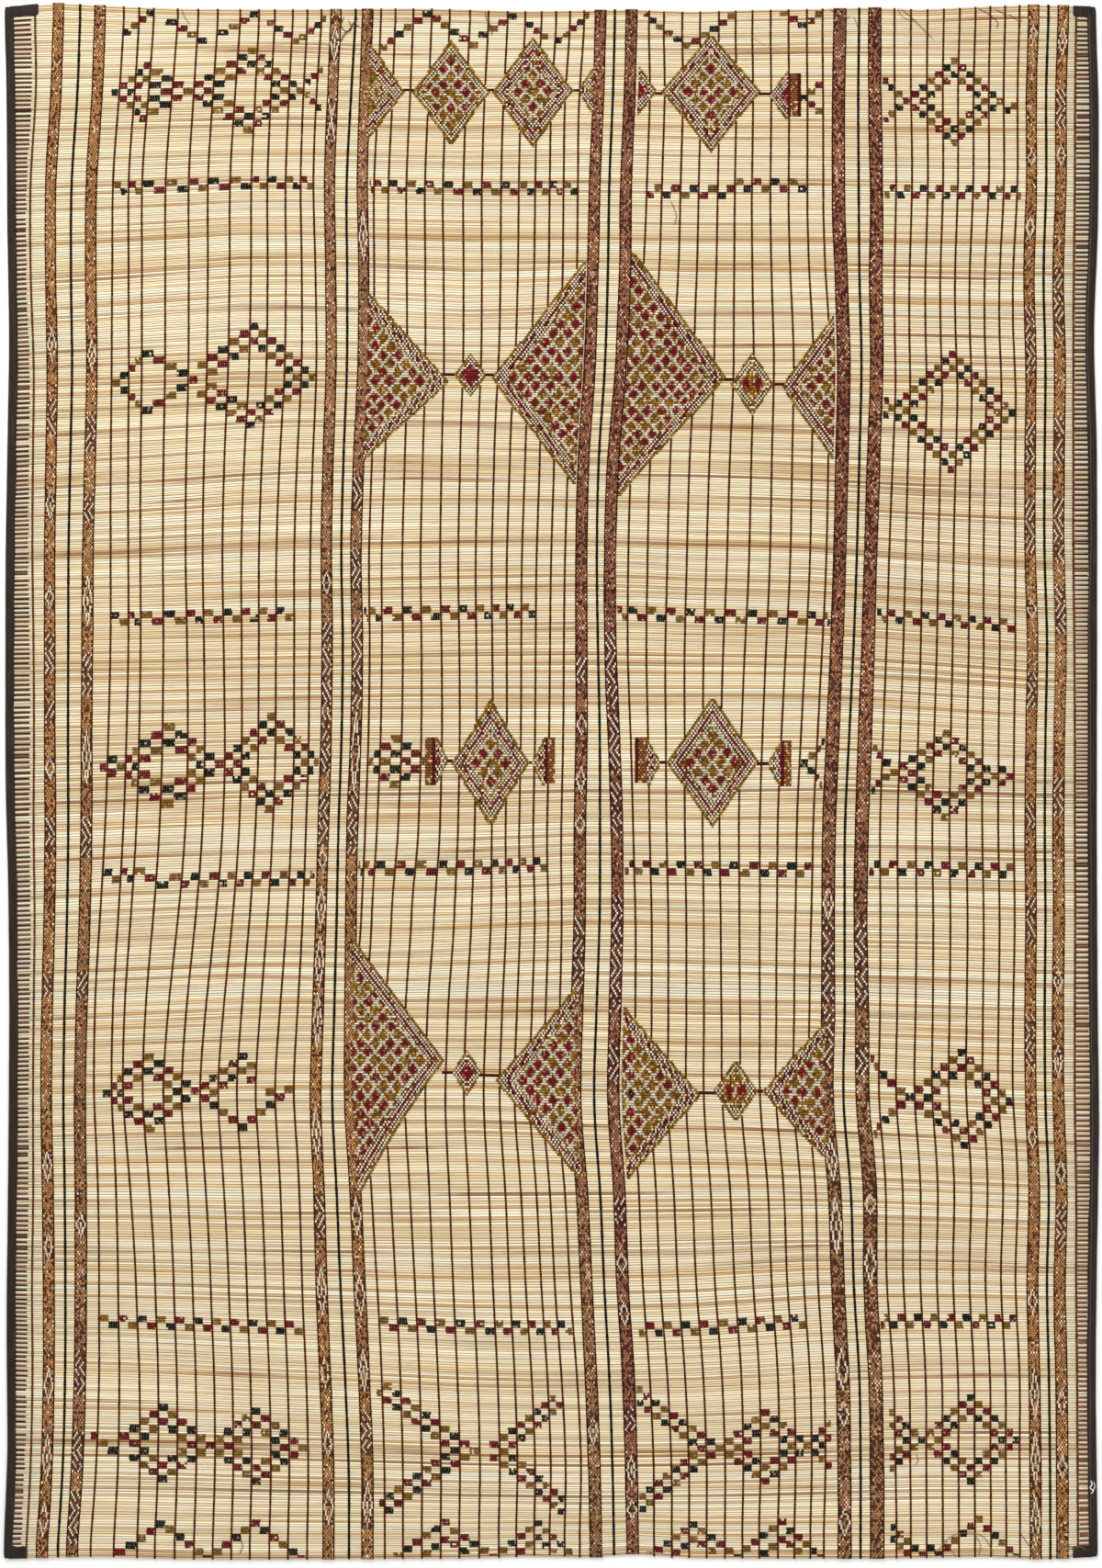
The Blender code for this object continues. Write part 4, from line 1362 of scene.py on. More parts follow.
def woven_shape(shape, kind, x, y, half_w, half_h, fill, box, slots):
    """One fine diamond, or the half of it that shows beside a band."""
    xm, ym = x * MM, y * MM
    row_mid = row_at(xm, ym)
    row_top = row_at(xm, ym + half_h * MM)
    row_low = row_at(xm, ym - half_h * MM)
    b = max(2.0, 0.5 * (row_low - row_top))
    row_mid = int(round(0.5 * (row_low + row_top)))
    a = half_w * MM / CELL
    for row in range(max(row_top, 1), min(row_low, REEDS - 2) + 1):
        di = row - row_mid
        reach = int(round(a * (1.0 - abs(di) / (b + 0.5))))
        if reach < 0:
            continue
        j0 = 0 if kind == "half_right" else -reach
        j1 = 0 if kind == "half_left" else reach
        if kind == "whole" or kind == "half_right" or kind == "half_left":
            n = j1 - j0 + 1
        centre = xm
        if kind != "whole":
            # the cut side stays against its band
            centre = xm + cut_shift(xm, ym, float(reed_y(row, xm)), kind)
        colours = np.array([diamond_colour(j, di, a, b, fill, x) for j in range(j0, j1 + 1)])
        x0 = centre + (j0 - 0.5) * CELL
        cell_row(shape, row, x0, n, colours, *shelf(slots, row, x0, box))
        COVER[row].append((x0, x0 + n * CELL))


def cut_shift(x, y_mid, y, kind):
    """How far the neighbouring band has moved sideways between two heights."""
    best = min(BANDS, key=lambda k: abs(float(band_x(k, y_mid)) - x))
    return float(band_x(best, y) - band_x(best, y_mid))


def build_diamonds(shape, panel_range, box):
    slots = {}
    for kind, x, y, half_w, half_h, fill in DIAMONDS:
        if panel_range[0] <= x < panel_range[1]:
            woven_shape(shape, kind, x, y, half_w, half_h, fill, box, slots)
    for x0, x1, y0, y1, reds in BLOCKS:
        if not panel_range[0] <= x0 < panel_range[1]:
            continue
        xa = x0 * MM
        n = max(1, int(round((x1 - x0) * MM / CELL)))
        top, low = row_at(xa, y0 * MM), row_at(xa, y1 * MM)
        wine = srgb(92, 26, 26)
        for row in range(top, low + 1):
            colours = []
            for k in range(n):
                red = (k < 2 and "left" in reds) or (k >= n - 2 and "right" in reds)
                tone = wine if red else (BROWN * 0.9 if (k + row) % 2 else srgb(148, 96, 56))
                if not red and RNG.random() < 0.16:
                    tone = srgb(222, 184, 130)
                colours.append(tone * (0.75 + 0.5 * RNG.random()))
            cell_row(shape, row, xa, n, np.array(colours), *shelf(slots, row, xa, box))
            COVER[row].append((xa, xa + n * CELL))
    for x0, x1, y0 in LINKS:
        if not panel_range[0] <= x0 < panel_range[1]:
            continue
        row = row_at(x0 * MM, y0 * MM)
        n = max(1, int(round((x1 - x0) * MM / CELL)))
        xa = x0 * MM
        # a link fills the free space between the two tips it joins
        middle = 0.5 * (x0 + x1) * MM
        before = [b for a, b in COVER[row] if a < middle and b > xa]
        after = [a for a, b in COVER[row] if b > middle and a < x1 * MM]
        xa = max(before + [xa])
        n = max(1, int(round((min(after + [x1 * MM]) - xa) / CELL)))
        colours = np.array([BAND_EDGE * (0.7 + 0.6 * RNG.random()) for _ in range(n)])
        cell_row(shape, row, xa, n, colours, *shelf(slots, row, xa, box))


# ------------------------------------------------------------------- combs
def build_comb(side, material):
    """Leather bars wound over every second reed beside one binding."""
    rows, x0, x1, tone = [], [], [], []
    i = 4
    while i < REEDS - 5:
        y = float(ROW_Y[i])
        if side == "left":
            a = float(left_x(y)) + 0.0155 + RNG.uniform(-0.0006, 0.0016)
            b = float(lane_x("thin_left", y)) - 0.0072 - 0.0030 * min(max((-y - 0.4) / 0.9, 0), 1)
            b += RNG.uniform(-0.0012, 0.0012)
            colour = srgb(70, 28, 20) * (0.6 + 0.8 * RNG.random())
            if RNG.random() < 0.22:
                colour = srgb(104, 66, 48) * (0.8 + 0.5 * RNG.random())
        else:
            a = float(lane_x("thin_right", y)) + 0.0034 + RNG.uniform(-0.0008, 0.0012)
            b = float(right_x(y)) - 0.0160 + RNG.uniform(-0.0016, 0.0004)
            warm = min(max(0.35 - y / 2.2 + 0.25 * math.sin(9.0 * y), 0), 1)
            colour = srgb(66, 28, 20) * (1 - warm) + srgb(122, 66, 40) * warm
            colour = colour * (0.7 + 0.6 * RNG.random())
        covered = [i] if RNG.random() > 0.05 else [i, i + 1]
        for row in covered:
            rows.append(row)
            x0.append(a)
            x1.append(b)
            tone.append(colour)
        i += 2 if RNG.random() > 0.05 else 3
        if len(covered) == 2:
            i += 1
    rows = np.array(rows, float)
    x0, x1, tone = np.array(x0), np.array(x1), np.array(tone)
    m = len(rows)
    segments = 2
    rings = np.empty((m, segments + 1, 5, 3))
    colours = np.empty((m, segments + 1, 5, 3))
    for s in range(segments + 1):
        x = x0 + (x1 - x0) * s / segments
        for k, (off, z) in enumerate(((0.35, 0.0046), (0.27, 0.0055), (0.0, 0.0060), (-0.27, 0.0055), (-0.35, 0.0046))):
            rings[:, s, k, 0] = x
            rings[:, s, k, 1] = reed_y(rows + off, x)
            rings[:, s, k, 2] = z + 0.00006 * RNG.standard_normal(m)
        # painted highlight along each bar's crest and painted shade on its sides
        level = np.array((0.5, 0.95, 1.15, 0.95, 0.5))
        colours[:, s] = tone[:, None, :] * level[None, :, None] * (0.9 + 0.2 * RNG.random((m, 1, 1)))
    columns = 16
    per = int(math.ceil(m / columns))
    places = np.empty((m, segments + 1, 6, 2))
    u = (np.arange(m) // per) / columns
    v = (np.arange(m) % per) / per
    for s in range(segments + 1):
        places[:, s, :, 0] = (u + (0.12 + 0.76 * s / segments) / columns)[:, None]
    places[..., 1] = (v + 0.04 / per)[:, None, None] + np.array((0, 0.2, 0.4, 0.6, 0.8, 0.92)) / per
    shape = Shape()
    tubes(shape, rings, colours, places)
    obj = shape.build(f"comb_{side}", material, "thong_leather")
    COUNT[obj.name] = shape.triangles()
    return obj


# ---------------------------------------------------------------- bindings
def bar_rings(along, outer, width, outward, axis, lift=0.0):
    """Rings of a folded leather strip; along: stations, outer: its outer edge."""
    n = len(along)
    profile = np.array((        # share of width from the outer edge, height (mm)
        (1.00, 0.30), (0.50, 0.15), (0.06, 0.25), (0.00, 1.60), (0.00, 4.10), (0.07, 5.45),
        (0.24, 5.95), (0.48, 5.80), (0.74, 5.92), (0.94, 5.70), (1.00, 4.70)))
    rings = np.empty((n, len(profile), 3))
    fold = bumpy(n, 5, 0.00022) + bumpy(n, 2, 0.00010)
    swell = 1.0 + bumpy(n, 7, 0.035)
    for k, (share, z) in enumerate(profile):
        off = share * width * swell + (fold if 0 < share < 1 else 0.35 * fold)
        height = z * MM + (bumpy(n, 3, 0.00014) + lift if z > 2 else 0.0)
        place = outer - outward * off
        if axis == "y":
            rings[:, k, 0], rings[:, k, 1] = place, along
        else:
            rings[:, k, 0], rings[:, k, 1] = along, place
        rings[:, k, 2] = np.minimum(height, TOP_Z + 0.0009)
    for end, inner in ((0, 1), (-1, -2)):       # rounded ends
        middle = rings[end].mean(axis=0)
        rings[end] = middle + (rings[end] - middle) * np.array((0.80 if axis == "y" else 1.0, 0.80 if axis == "x" else 1.0, 0.72))
    return rings


def add_bar(shape, rings, turned, colour, v0, v1):
    n, k, _ = rings.shape
    if turned:
        rings = rings[:, ::-1]
    wear = 1.0 + np.stack([bumpy(n, 4, 0.12) for _ in range(k)], 1)
    colours = colour[None, None, :] * wear[..., None]
    places = np.empty((1, n, k + 1, 2))
    places[0, :, :, 0] = np.linspace(0.01, 0.99, n)[:, None]
    places[0, :, :, 1] = v0 + (v1 - v0) * np.linspace(0.02, 0.97, k + 1)[None, :]
    tubes(shape, rings[None], colours[None], places)


RETURNS = {
    # side: length and depth (m) of the corner return at the top and at the bottom
    "left": ((0.0640, 0.0215), (0.0420, 0.0240)),
    "right": ((0.0430, 0.0200), (0.0470, 0.0235)),
}


def build_binding(side, material):
    sign = -1.0 if side == "left" else 1.0
    edge = left_x if side == "left" else right_x
    leather = srgb(38, 31, 26)
    y_top = float(top_y(edge(MID_Y + LENGTH / 2))) - 0.0012
    y_low = float(bottom_y(edge(MID_Y - LENGTH / 2))) + 0.0012
    along = np.linspace(y_top, y_low, 420)
    shape = Shape()
    rings = bar_rings(along, edge(along), 0.0172, sign, "y")
    # stations run towards -y, so the left side's section is already outward
    add_bar(shape, rings, side == "right", leather, 0.0, 0.52)
    for place, (length, depth) in enumerate(RETURNS[side]):
        top = place == 0
        end_edge = top_y if top else bottom_y
        y_end = y_top if top else y_low
        x_out = float(edge(y_end)) - sign * 0.0085
        x_in = float(edge(y_end)) - sign * length
        xs = np.linspace(x_out, x_in, 26)
        outward = 1.0 if top else -1.0
        rings = bar_rings(xs, end_edge(xs), depth, outward, "x", lift=0.0003)
        # section order is outward for stations towards -x at the top
        turned = (side == "left") == top
        add_bar(shape, rings, turned, leather * 0.96, 0.54 + 0.23 * place, 0.75 + 0.23 * place)
    obj = shape.build(f"edge_{side}", material, "binding_leather")
    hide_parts(f"binding_{side}")
    COUNT[obj.name] = shape.triangles()
    return obj


# ----------------------------------------------------- threads, loose ends
def strand(shape, points, radius, colour, v0, v1, sides=5, taper=0.35):
    """A thin closed tube through points (m), narrowing to its ends."""
    p = np.asarray(points, float)
    n = len(p)
    step = np.gradient(p, axis=0)
    step /= np.linalg.norm(step, axis=1, keepdims=True)
    up = np.array((0.0, 0.0, 1.0))
    side = np.cross(step, up)
    side /= np.maximum(np.linalg.norm(side, axis=1, keepdims=True), 1e-9)
    top = np.cross(side, step)
    size = radius * np.minimum(1.0, taper + (1 - taper) * np.minimum(np.arange(n), np.arange(n)[::-1]) / 2.0)
    turns = np.linspace(0, 2 * np.pi, sides, endpoint=False)
    rings = (p[:, None] + size[:, None, None] * (np.cos(turns)[None, :, None] * top[:, None]
                                                + np.sin(turns)[None, :, None] * side[:, None]))
    # ring order must turn so that travel x tangent points out
    a = rings[0, 1] - rings[0, 0]
    out = rings[0, 0] - p[0]
    if np.dot(np.cross(step[0], a), out) < 0:
        rings = rings[:, ::-1]
    colours = np.asarray(colour)[None, None, :] * (0.85 + 0.3 * RNG.random((n, sides, 1)))
    places = np.empty((1, n, sides + 1, 2))
    places[0, :, :, 0] = np.linspace(0.02, 0.98, n)[:, None]
    places[0, :, :, 1] = v0 + (v1 - v0) * np.linspace(0.05, 0.9, sides + 1)[None, :]
    tubes(shape, rings[None], colours[None], places)


def wavy(points, n, z, rise=0.0):
    """Smooth path in metres through points given in mm, lying at height z."""
    p = np.asarray(points, float) * MM
    t = np.linspace(0, 1, len(p))
    at = np.linspace(0, 1, n)
    xy = smooth_through(t, p, at)
    height = np.full(n, z) + rise * np.sin(np.pi * at)
    return np.column_stack([xy, height])


# Loose thong ends and wisps lying on the show face: colour, radius, path (mm).
LOOSE = (
    ("brown", 0.9, ((-392, 1447), (-398, 1430), (-388, 1418), (-378, 1424), (-384, 1440))),
    ("brown", 1.1, ((-372, 1438), (-380, 1424), (-392, 1412), (-399, 1398))),
    ("brown", 0.8, ((-366, 1444), (-372, 1434), (-362, 1426))),
    ("brown", 0.7, ((-349, 1452), (-344, 1434), (-350, 1416))),
    ("brown", 0.7, ((-126, 1457), (-122, 1440), (-112, 1424), (-114, 1410))),
    ("brown", 0.6, ((156, 1450), (160, 1438), (154, 1424), (162, 1412))),
    ("brown", 0.6, ((226, 1098), (236, 1072), (233, 1052))),
    ("straw", 0.5, ((380, 1408), (398, 1396), (418, 1388), (434, 1377))),
    ("brown", 0.6, ((660, 1462), (682, 1444), (702, 1424), (723, 1402))),
    ("brown", 0.5, ((655, 1464), (664, 1446), (690, 1438))),
    ("brown", 0.7, ((806, 1462), (826, 1452), (844, 1436), (842, 1424))),
    ("brown", 0.6, ((836, 1462), (856, 1452), (870, 1448), (884, 1438), (892, 1440))),
    ("brown", 0.6, ((526, 1462), (540, 1450), (552, 1440), (566, 1448))),
    ("brown", 0.5, ((571, 1449), (578, 1432), (584, 1416))),
    ("brown", 0.5, ((-700, 1462), (-694, 1446), (-684, 1432))),
    ("tan", 0.7, ((726, -1464), (744, -1440), (764, -1425), (792, -1422), (816, -1428), (828, -1444), (836, -1462))),
    ("tan", 0.6, ((742, -1432), (754, -1450), (766, -1468))),
    ("tan", 0.6, ((800, -1424), (812, -1444), (808, -1466))),
    ("brown", 0.6, ((884, -1418), (898, -1438), (908, -1452), (914, -1470))),
    ("brown", 0.6, ((905, -1412), (918, -1436), (926, -1470))),
    ("brown", 0.6, ((960, -1420), (972, -1440), (990, -1452), (1004, -1458))),
    ("tan", 0.7, ((970, -1446), (984, -1452), (1000, -1448), (1012, -1454))),
    ("brown", 0.7, ((-590, -1462), (-584, -1446), (-590, -1434))),
    ("brown", 0.6, ((690, -1272), (694, -1284), (688, -1294))),
)


def build_loose(material):
    shape = Shape()
    tones = {"brown": srgb(96, 58, 36), "tan": srgb(150, 100, 62), "straw": srgb(206, 172, 118)}
    total = len(LOOSE)
    for number, (tone, radius, path) in enumerate(LOOSE):
        points = wavy(path, 18, 0.0062, 0.0010)
        strand(shape, points, radius * MM, tones[tone], number / total, (number + 1) / total)
    obj = shape.build("loose_ends", material, "thong_leather")
    COUNT[obj.name] = shape.triangles()
    return obj


def build_stitches(material):
    """A pale thread along the right binding and a tuft."""
    shape = Shape()
    n = 420
    ys = np.linspace(MID_Y + LENGTH / 2 - 0.020, MID_Y - LENGTH / 2 + 0.045, n)
    xs = right_x(ys) - 0.0118 + bumpy(n, 24, 0.0009) + bumpy(n, 6, 0.0003)
    path = np.column_stack([xs, ys, np.full(n, 0.00600) + bumpy(n, 3, 0.00005)])
    strand(shape, path, 0.00042, srgb(112, 100, 92), 0.0, 0.3, sides=4)
    tuft = ((1020, -1322), (1023, -1330), (1019, -1336), (1025, -1342), (1021, -1348))
    strand(shape, wavy(tuft, 14, 0.0074, 0.0008), 0.0012, srgb(236, 236, 232), 0.32, 0.6, sides=6)
    tuft = ((1026, -1324), (1028, -1334), (1024, -1344))
    strand(shape, wavy(tuft, 10, 0.0072, 0.0006), 0.0009, srgb(226, 226, 224), 0.62, 0.9, sides=6)
    obj = shape.build("edge_thread", material, "binding_leather")
    COUNT[obj.name] = shape.triangles()
    return obj


def build_underside(material, lanes):
    """The thongs' return under the reeds: flat ribbons, one under each lane."""
    shape = Shape()
    n = 30
    total = len(lanes)
    pick = np.linspace(0, REEDS - 1, n).astype(int)
    for number, (x, y, half) in enumerate(lanes):
        px, py = x[pick], y[pick].copy()
        py[0] += 0.001
        py[-1] -= 0.001
        rings = np.empty((n, 4, 3))
        for k, (side, z) in enumerate(((-1, 0.0004), (-1, 0.0012), (1, 0.0012), (1, 0.0004))):
            rings[:, k, 0] = px + side * half
            rings[:, k, 1] = py
            rings[:, k, 2] = z
        colours = np.broadcast_to(THONG * (0.8 + 0.4 * RNG.random()), (n, 4, 3))
        places = np.empty((1, n, 5, 2))
        places[0, :, :, 0] = (number + np.linspace(0.05, 0.9, 5)[None, :]) / total
        places[0, :, :, 1] = np.linspace(0.01, 0.99, n)[:, None]
        tubes(shape, rings[None], colours[None], places)
    obj = shape.build("under_thongs", material, "thong_leather")
    COUNT[obj.name] = shape.triangles()
    return obj


# --------------------------------------------------------------- materials
class Nodes:
    """Short ways to add nodes to one material."""

    def __init__(self, name):
        self.material = bpy.data.materials.new(name)
        self.material.use_nodes = True
        self.tree = self.material.node_tree
        self.tree.nodes.clear()
        self.out = self.new("ShaderNodeOutputMaterial")
        self.shader = self.new("ShaderNodeBsdfPrincipled")
        self.link(self.shader.outputs["BSDF"], self.out.inputs["Surface"])
        self.place = self.new("ShaderNodeTexCoord").outputs["Object"]

    def new(self, kind, **settings):
        node = self.tree.nodes.new(kind)
        for key, value in settings.items():
            setattr(node, key, value)
        return node

    def link(self, a, b):
        self.tree.links.new(a, b)

    def noise(self, scale, detail=3.0, rough=0.55, shift=(0, 0, 0)):
        turn = self.new("ShaderNodeMapping")
        turn.inputs["Scale"].default_value = scale
        turn.inputs["Location"].default_value = shift
        self.link(self.place, turn.inputs["Vector"])
        node = self.new("ShaderNodeTexNoise")
        node.inputs["Scale"].default_value = 1.0
        node.inputs["Detail"].default_value = detail
        node.inputs["Roughness"].default_value = rough
        self.link(turn.outputs["Vector"], node.inputs["Vector"])
        return node.outputs["Fac"]

    def span(self, value, a, b, low, high):
        node = self.new("ShaderNodeMapRange")
        node.clamp = True
        self.link(value, node.inputs["Value"])
        for key, v in zip(("From Min", "From Max", "To Min", "To Max"), (a, b, low, high)):
            node.inputs[key].default_value = v
        return node.outputs["Result"]

    def times(self, colour, value):
        node = self.new("ShaderNodeVectorMath", operation="SCALE")
        self.link(colour, node.inputs[0])
        self.link(value, node.inputs["Scale"])
        return node.outputs["Vector"]

    def mixed(self, share, a, b):
        node = self.new("ShaderNodeMix", data_type="RGBA")
        self.link(share, node.inputs["Factor"])
        for socket, value in ((node.inputs[6], a), (node.inputs[7], b)):
            if isinstance(value, tuple):
                socket.default_value = value
            else:
                self.link(value, socket)
        return node.outputs[2]

    def tint(self):
        node = self.new("ShaderNodeAttribute")
        node.attribute_name = "tint"
        node.attribute_type = "GEOMETRY"
        return node.outputs["Color"]

    def bump(self, *layers):
        last = None
        for value, strength, distance in layers:
            node = self.new("ShaderNodeBump")
            node.inputs["Strength"].default_value = strength
            node.inputs["Distance"].default_value = distance
            self.link(value, node.inputs["Height"])
            if last is not None:
                self.link(last, node.inputs["Normal"])
            last = node.outputs["Normal"]
        self.link(last, self.shader.inputs["Normal"])


def rgba(c):
    return (float(c[0]), float(c[1]), float(c[2]), 1.0)


def reed_material():
    n = Nodes("reed")
    tone = n.noise((5.0, 430.0, 1.0), 2.0, 0.5)
    fibre = n.noise((40.0, 2600.0, 900.0), 3.0, 0.6, (3.1, 0.7, 0.2))
    patch = n.noise((2.0, 5.0, 1.0), 3.0, 0.6, (11.0, 4.0, 0.0))
    stain = n.noise((12.0, 330.0, 1.0), 3.0, 0.65, (5.0, 9.0, 0.0))
    fleck = n.noise((75.0, 620.0, 200.0), 2.0, 0.7, (7.0, 2.0, 1.0))
    colour = n.times(n.tint(), n.span(tone, 0.30, 0.70, 0.86, 1.08))
    colour = n.times(colour, n.span(fibre, 0.25, 0.75, 0.88, 1.08))
    colour = n.times(colour, n.span(patch, 0.30, 0.70, 0.95, 1.03))
    colour = n.mixed(n.span(stain, 0.58, 0.78, 0.0, 0.55), colour, rgba(srgb(146, 100, 62)))
    colour = n.mixed(n.span(fleck, 0.67, 0.78, 0.0, 0.70), colour, rgba(srgb(96, 54, 26)))
    n.link(colour, n.shader.inputs["Base Color"])
    n.link(n.span(fibre, 0.2, 0.8, 0.66, 0.50), n.shader.inputs["Roughness"])
    n.shader.inputs["Specular IOR Level"].default_value = 0.28
    n.bump((fibre, 0.35, 0.0004), (tone, 0.25, 0.0008))
    return n.material


def leather_material(name, scale, vary, rough, specular=0.3, grain=0.0004):
    n = Nodes(name)
    grains = n.noise((scale, scale, scale), 4.0, 0.6)
    fine = n.noise((scale * 3.1, scale * 3.1, scale * 3.1), 3.0, 0.6, (2.0, 1.0, 5.0))
    soft = n.noise((scale * 0.04, scale * 0.04, scale * 0.04), 3.0, 0.6, (4.0, 3.0, 2.0))
    colour = n.times(n.tint(), n.span(grains, 0.28, 0.72, 1.0 - vary, 1.0 + vary))
    colour = n.times(colour, n.span(soft, 0.3, 0.7, 0.84, 1.14))
    n.link(colour, n.shader.inputs["Base Color"])
    n.link(n.span(fine, 0.25, 0.75, rough + 0.10, rough - 0.10), n.shader.inputs["Roughness"])
    n.shader.inputs["Specular IOR Level"].default_value = specular
    n.bump((grains, 0.5, grain), (fine, 0.35, grain * 0.5))
    return n.material


def binding_material():
    n = Nodes("binding_leather")
    grains = n.noise((420.0, 420.0, 420.0), 4.0, 0.6)
    painted_sheen_streak = n.noise((260.0, 14.0, 60.0), 3.0, 0.6, (1.0, 2.0, 3.0))
    scuff = n.noise((38.0, 22.0, 30.0), 5.0, 0.7, (8.0, 1.0, 3.0))
    crease = n.noise((90.0, 150.0, 90.0), 3.0, 0.55, (3.0, 6.0, 1.0))
    colour = n.times(n.tint(), n.span(grains, 0.28, 0.72, 0.78, 1.24))
    # lighter streaks along the binding: painted sheen
    colour = n.mixed(n.span(painted_sheen_streak, 0.55, 0.78, 0.0, 0.55), colour, rgba(srgb(74, 62, 54)))
    colour = n.mixed(n.span(scuff, 0.60, 0.76, 0.0, 0.45), colour, rgba(srgb(80, 60, 46)))
    n.link(colour, n.shader.inputs["Base Color"])
    n.link(n.span(scuff, 0.3, 0.7, 0.48, 0.72), n.shader.inputs["Roughness"])
    n.shader.inputs["Specular IOR Level"].default_value = 0.16
    n.bump((grains, 0.4, 0.0004), (crease, 0.55, 0.0012))
    return n.material


def floor_material():
    n = Nodes("studio_floor")
    grain = n.noise((14.0, 14.0, 14.0), 3.0, 0.5)
    shade = n.span(grain, 0.3, 0.7, 0.985, 1.0)
    base = n.new("ShaderNodeRGB")
    base.outputs[0].default_value = (0.93, 0.93, 0.925, 1.0)
    n.link(n.times(base.outputs[0], shade), n.shader.inputs["Base Color"])
    n.shader.inputs["Roughness"].default_value = 0.9
    n.shader.inputs["Specular IOR Level"].default_value = 0.1
    return n.material


# ---------------------------------------------------------------- assembly
COUNT = {}


def covered_rows(x, half):
    """Reeds where a lane is hidden under woven cells or a band."""
    hidden = np.zeros(REEDS, bool)
    for i in range(REEDS):
        for a, b in COVER[i]:
            if a - 0.3 * half < x[i] < b + 0.3 * half:
                hidden[i] = True
                break
    return hidden


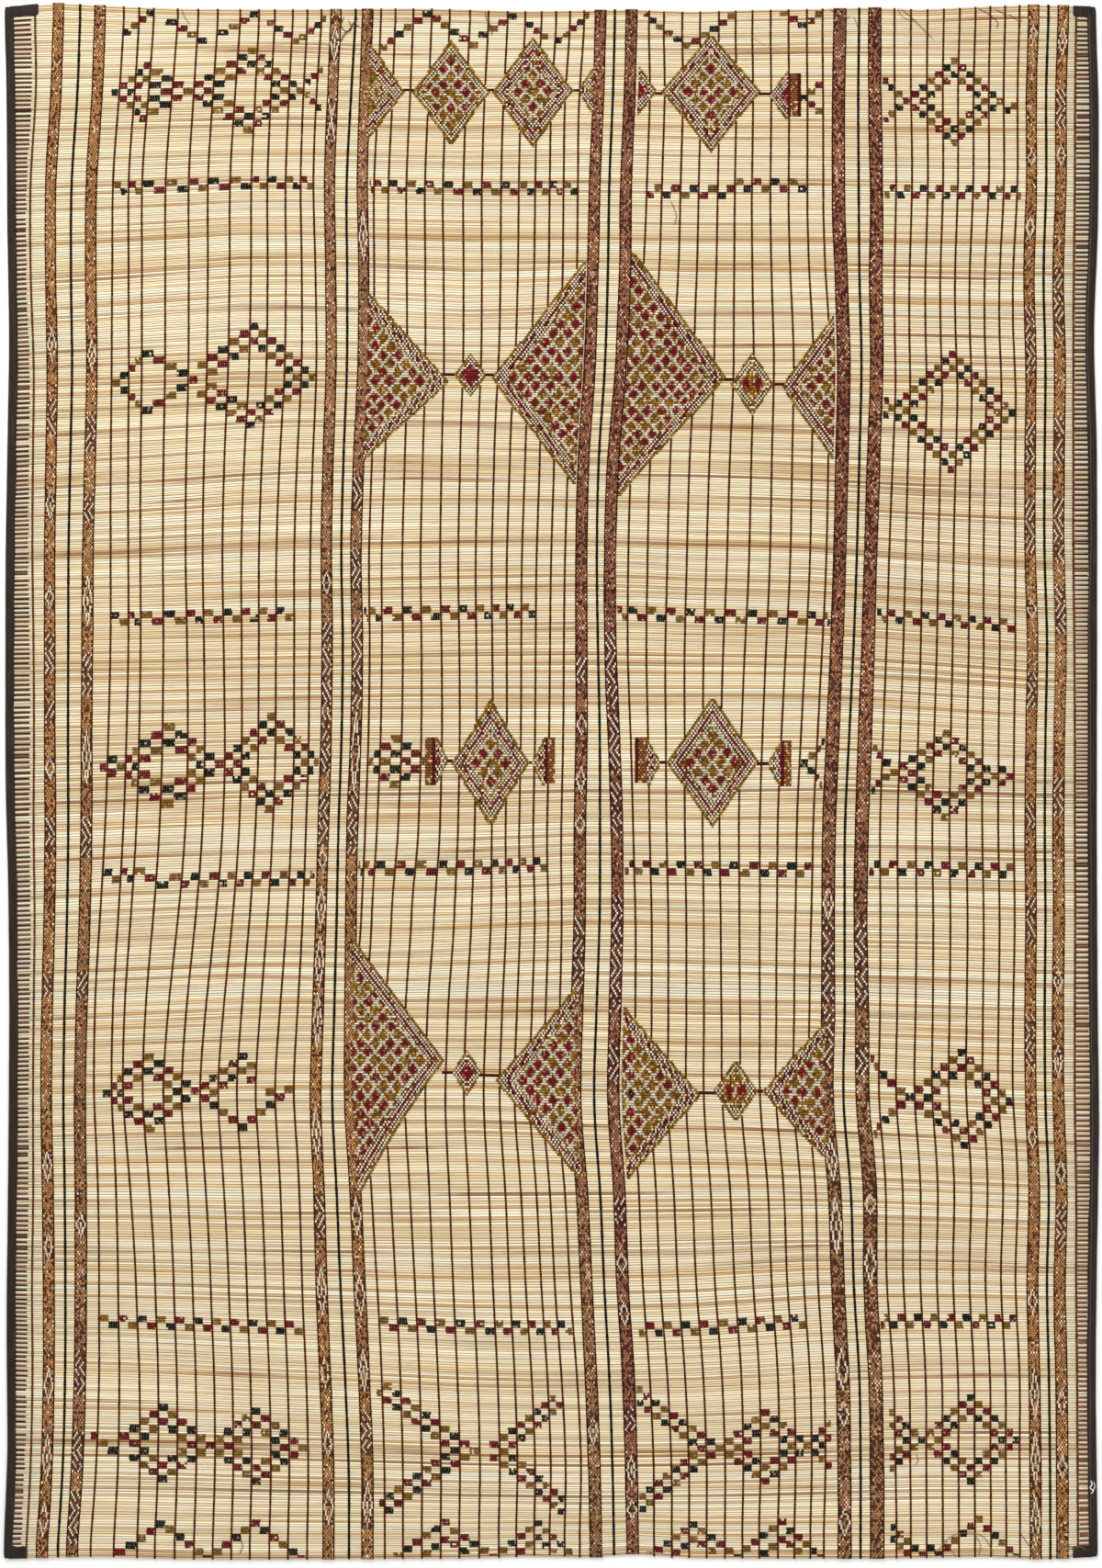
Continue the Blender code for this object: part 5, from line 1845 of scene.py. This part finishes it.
def build():
    reed = reed_material()
    thong_mat = leather_material("thong_leather", 900.0, 0.26, 0.70, 0.06)
    band_mat = leather_material("band_leather", 1100.0, 0.16, 0.72, 0.06)
    dyed_mat = leather_material("dyed_leather", 1000.0, 0.18, 0.72, 0.06)
    binding_mat = binding_material()

    reeds = build_reeds(reed)

    shape = Shape()
    build_diamonds(shape, (-420, 100), (-0.390, 0.095))
    shape.build("diamonds_left", dyed_mat, "dyed_leather")
    COUNT["diamonds_left"] = shape.triangles()
    shape = Shape()
    build_diamonds(shape, (100, 600), (0.125, 0.550))
    shape.build("diamonds_right", dyed_mat, "dyed_leather")
    COUNT["diamonds_right"] = shape.triangles()

    wraps = Wraps()
    build_squares(wraps)
    shape = wraps.shape()
    shape.build("squares", dyed_mat, "dyed_leather")
    COUNT["squares"] = shape.triangles()

    lanes = []
    band_lines = {}
    for name, numbers in (("bands_left", (1, 2, 3, 4, 5)), ("bands_right", (6, 7, 8, 9, 10))):
        shape = Shape()
        for column, number in enumerate(numbers):
            x, y = build_band(shape, number, column, len(numbers))
            band_lines[number] = x
            lanes.append((x, y, 0.008))
        shape.build(name, band_mat, "thong_leather")
        COUNT[name] = shape.triangles()

    for panel in (1, 2, 3, 4):
        count = len(PANELS[panel][4][0][1])
        shape = Shape()
        band_a, band_b = PANELS[panel][2:4]
        for k in range(count):
            x, y = follow(lambda h, k=k: thong_x(panel, h)[:, k])
            hidden = covered_rows(x, 0.0016)
            hidden |= np.abs(x - band_lines[band_a]) < band_half(band_a, y) + 0.0012
            hidden |= np.abs(x - band_lines[band_b]) < band_half(band_b, y) + 0.0012
            tone = THONG * (0.85 + 0.3 * RNG.random())
            thong_runs(shape, x, y, 0.00190, tone, 0.14, k, count, hidden=hidden)
            lanes.append((x, y, 0.0013))
        shape.build(f"thongs_{panel}", thong_mat, "thong_leather")
        COUNT[f"thongs_{panel}"] = shape.triangles()

    shape = Shape()
    singles = (
        # line, half width (mm), colour, spread
        ("thin_left", 2.00, srgb(104, 60, 28), 0.16),
        ("pair_a", 2.40, THONG_BLACK, 0.24), ("pair_b", 2.40, THONG_BLACK, 0.24),
        ("pair_c", 2.40, THONG_BLACK, 0.24), ("pair_d", 2.40, THONG_BLACK, 0.24),
        ("pair_e", 2.40, THONG_BLACK, 0.24), ("thin_right", 2.10, srgb(104, 56, 30), 0.2),
    )
    for column, (name, half, tone, spread) in enumerate(singles):
        x, y = follow(lambda h, name=name: lane_x(name, h))
        x = x + (0.0012 if name == "thin_right" else 0.0007)
        thong_runs(shape, x, y, half * MM, tone, spread, column, len(singles))
        lanes.append((x, y, 0.0013))
    shape.build("thongs_single", thong_mat, "thong_leather")
    COUNT["thongs_single"] = shape.triangles()

    build_comb("left", thong_mat)
    build_comb("right", thong_mat)
    edges = [build_binding("left", binding_mat), build_binding("right", binding_mat)]
    build_loose(thong_mat)
    build_stitches(thong_mat)
    build_underside(thong_mat, lanes)


def build_stage():
    size = 9.0
    mesh = bpy.data.meshes.new("floor")
    mesh.from_pydata([(-size, -size, 0), (size, -size, 0), (size, size, 0), (-size, size, 0)], [], [(0, 1, 2, 3)])
    floor = bpy.data.objects.new("floor", mesh)
    floor.location.z = LOW.z - 0.0002
    bpy.context.scene.collection.objects.link(floor)
    mesh.materials.append(floor_material())

    world = bpy.data.worlds.new("studio")
    world.use_nodes = True
    back = world.node_tree.nodes["Background"]
    back.inputs["Color"].default_value = (1.0, 1.0, 1.0, 1.0)
    back.inputs["Strength"].default_value = 0.70
    bpy.context.scene.world = world

    for name, place, turn, size, power in (
        ("key", (-1.6, 4.6, 4.6), (math.radians(-45), 0, math.radians(10)), 3.4, 260.0),
        ("fill", (2.4, -3.6, 5.4), (math.radians(34), 0, math.radians(20)), 4.5, 90.0),
    ):
        light = bpy.data.lights.new(name, "AREA")
        light.shape = "SQUARE"
        light.size = size
        light.energy = power
        light.color = (1.0, 0.985, 0.96) if name == "key" else (0.97, 0.985, 1.0)
        lamp = bpy.data.objects.new(name, light)
        lamp.location = place
        lamp.rotation_euler = turn
        bpy.context.scene.collection.objects.link(lamp)

    data = bpy.data.cameras.new("camera")
    data.lens = 100.0
    data.sensor_width = 36.0
    data.sensor_fit = "AUTO"
    data.clip_start = 0.1
    data.clip_end = 60.0
    camera = bpy.data.objects.new("camera", data)
    tall = LENGTH * 1.00708            # height of the framed ground
    camera.location = (MID_X - 0.0007, MID_Y - 0.0052, TOP_Z - 0.002 + tall * 100.0 / 36.0)
    bpy.context.scene.collection.objects.link(camera)
    bpy.context.scene.camera = camera
    bpy.context.scene.view_settings.view_transform = "Standard"
    bpy.context.scene.view_settings.look = "None"


build()
build_stage()
print("triangles", sum(COUNT.values()), COUNT)
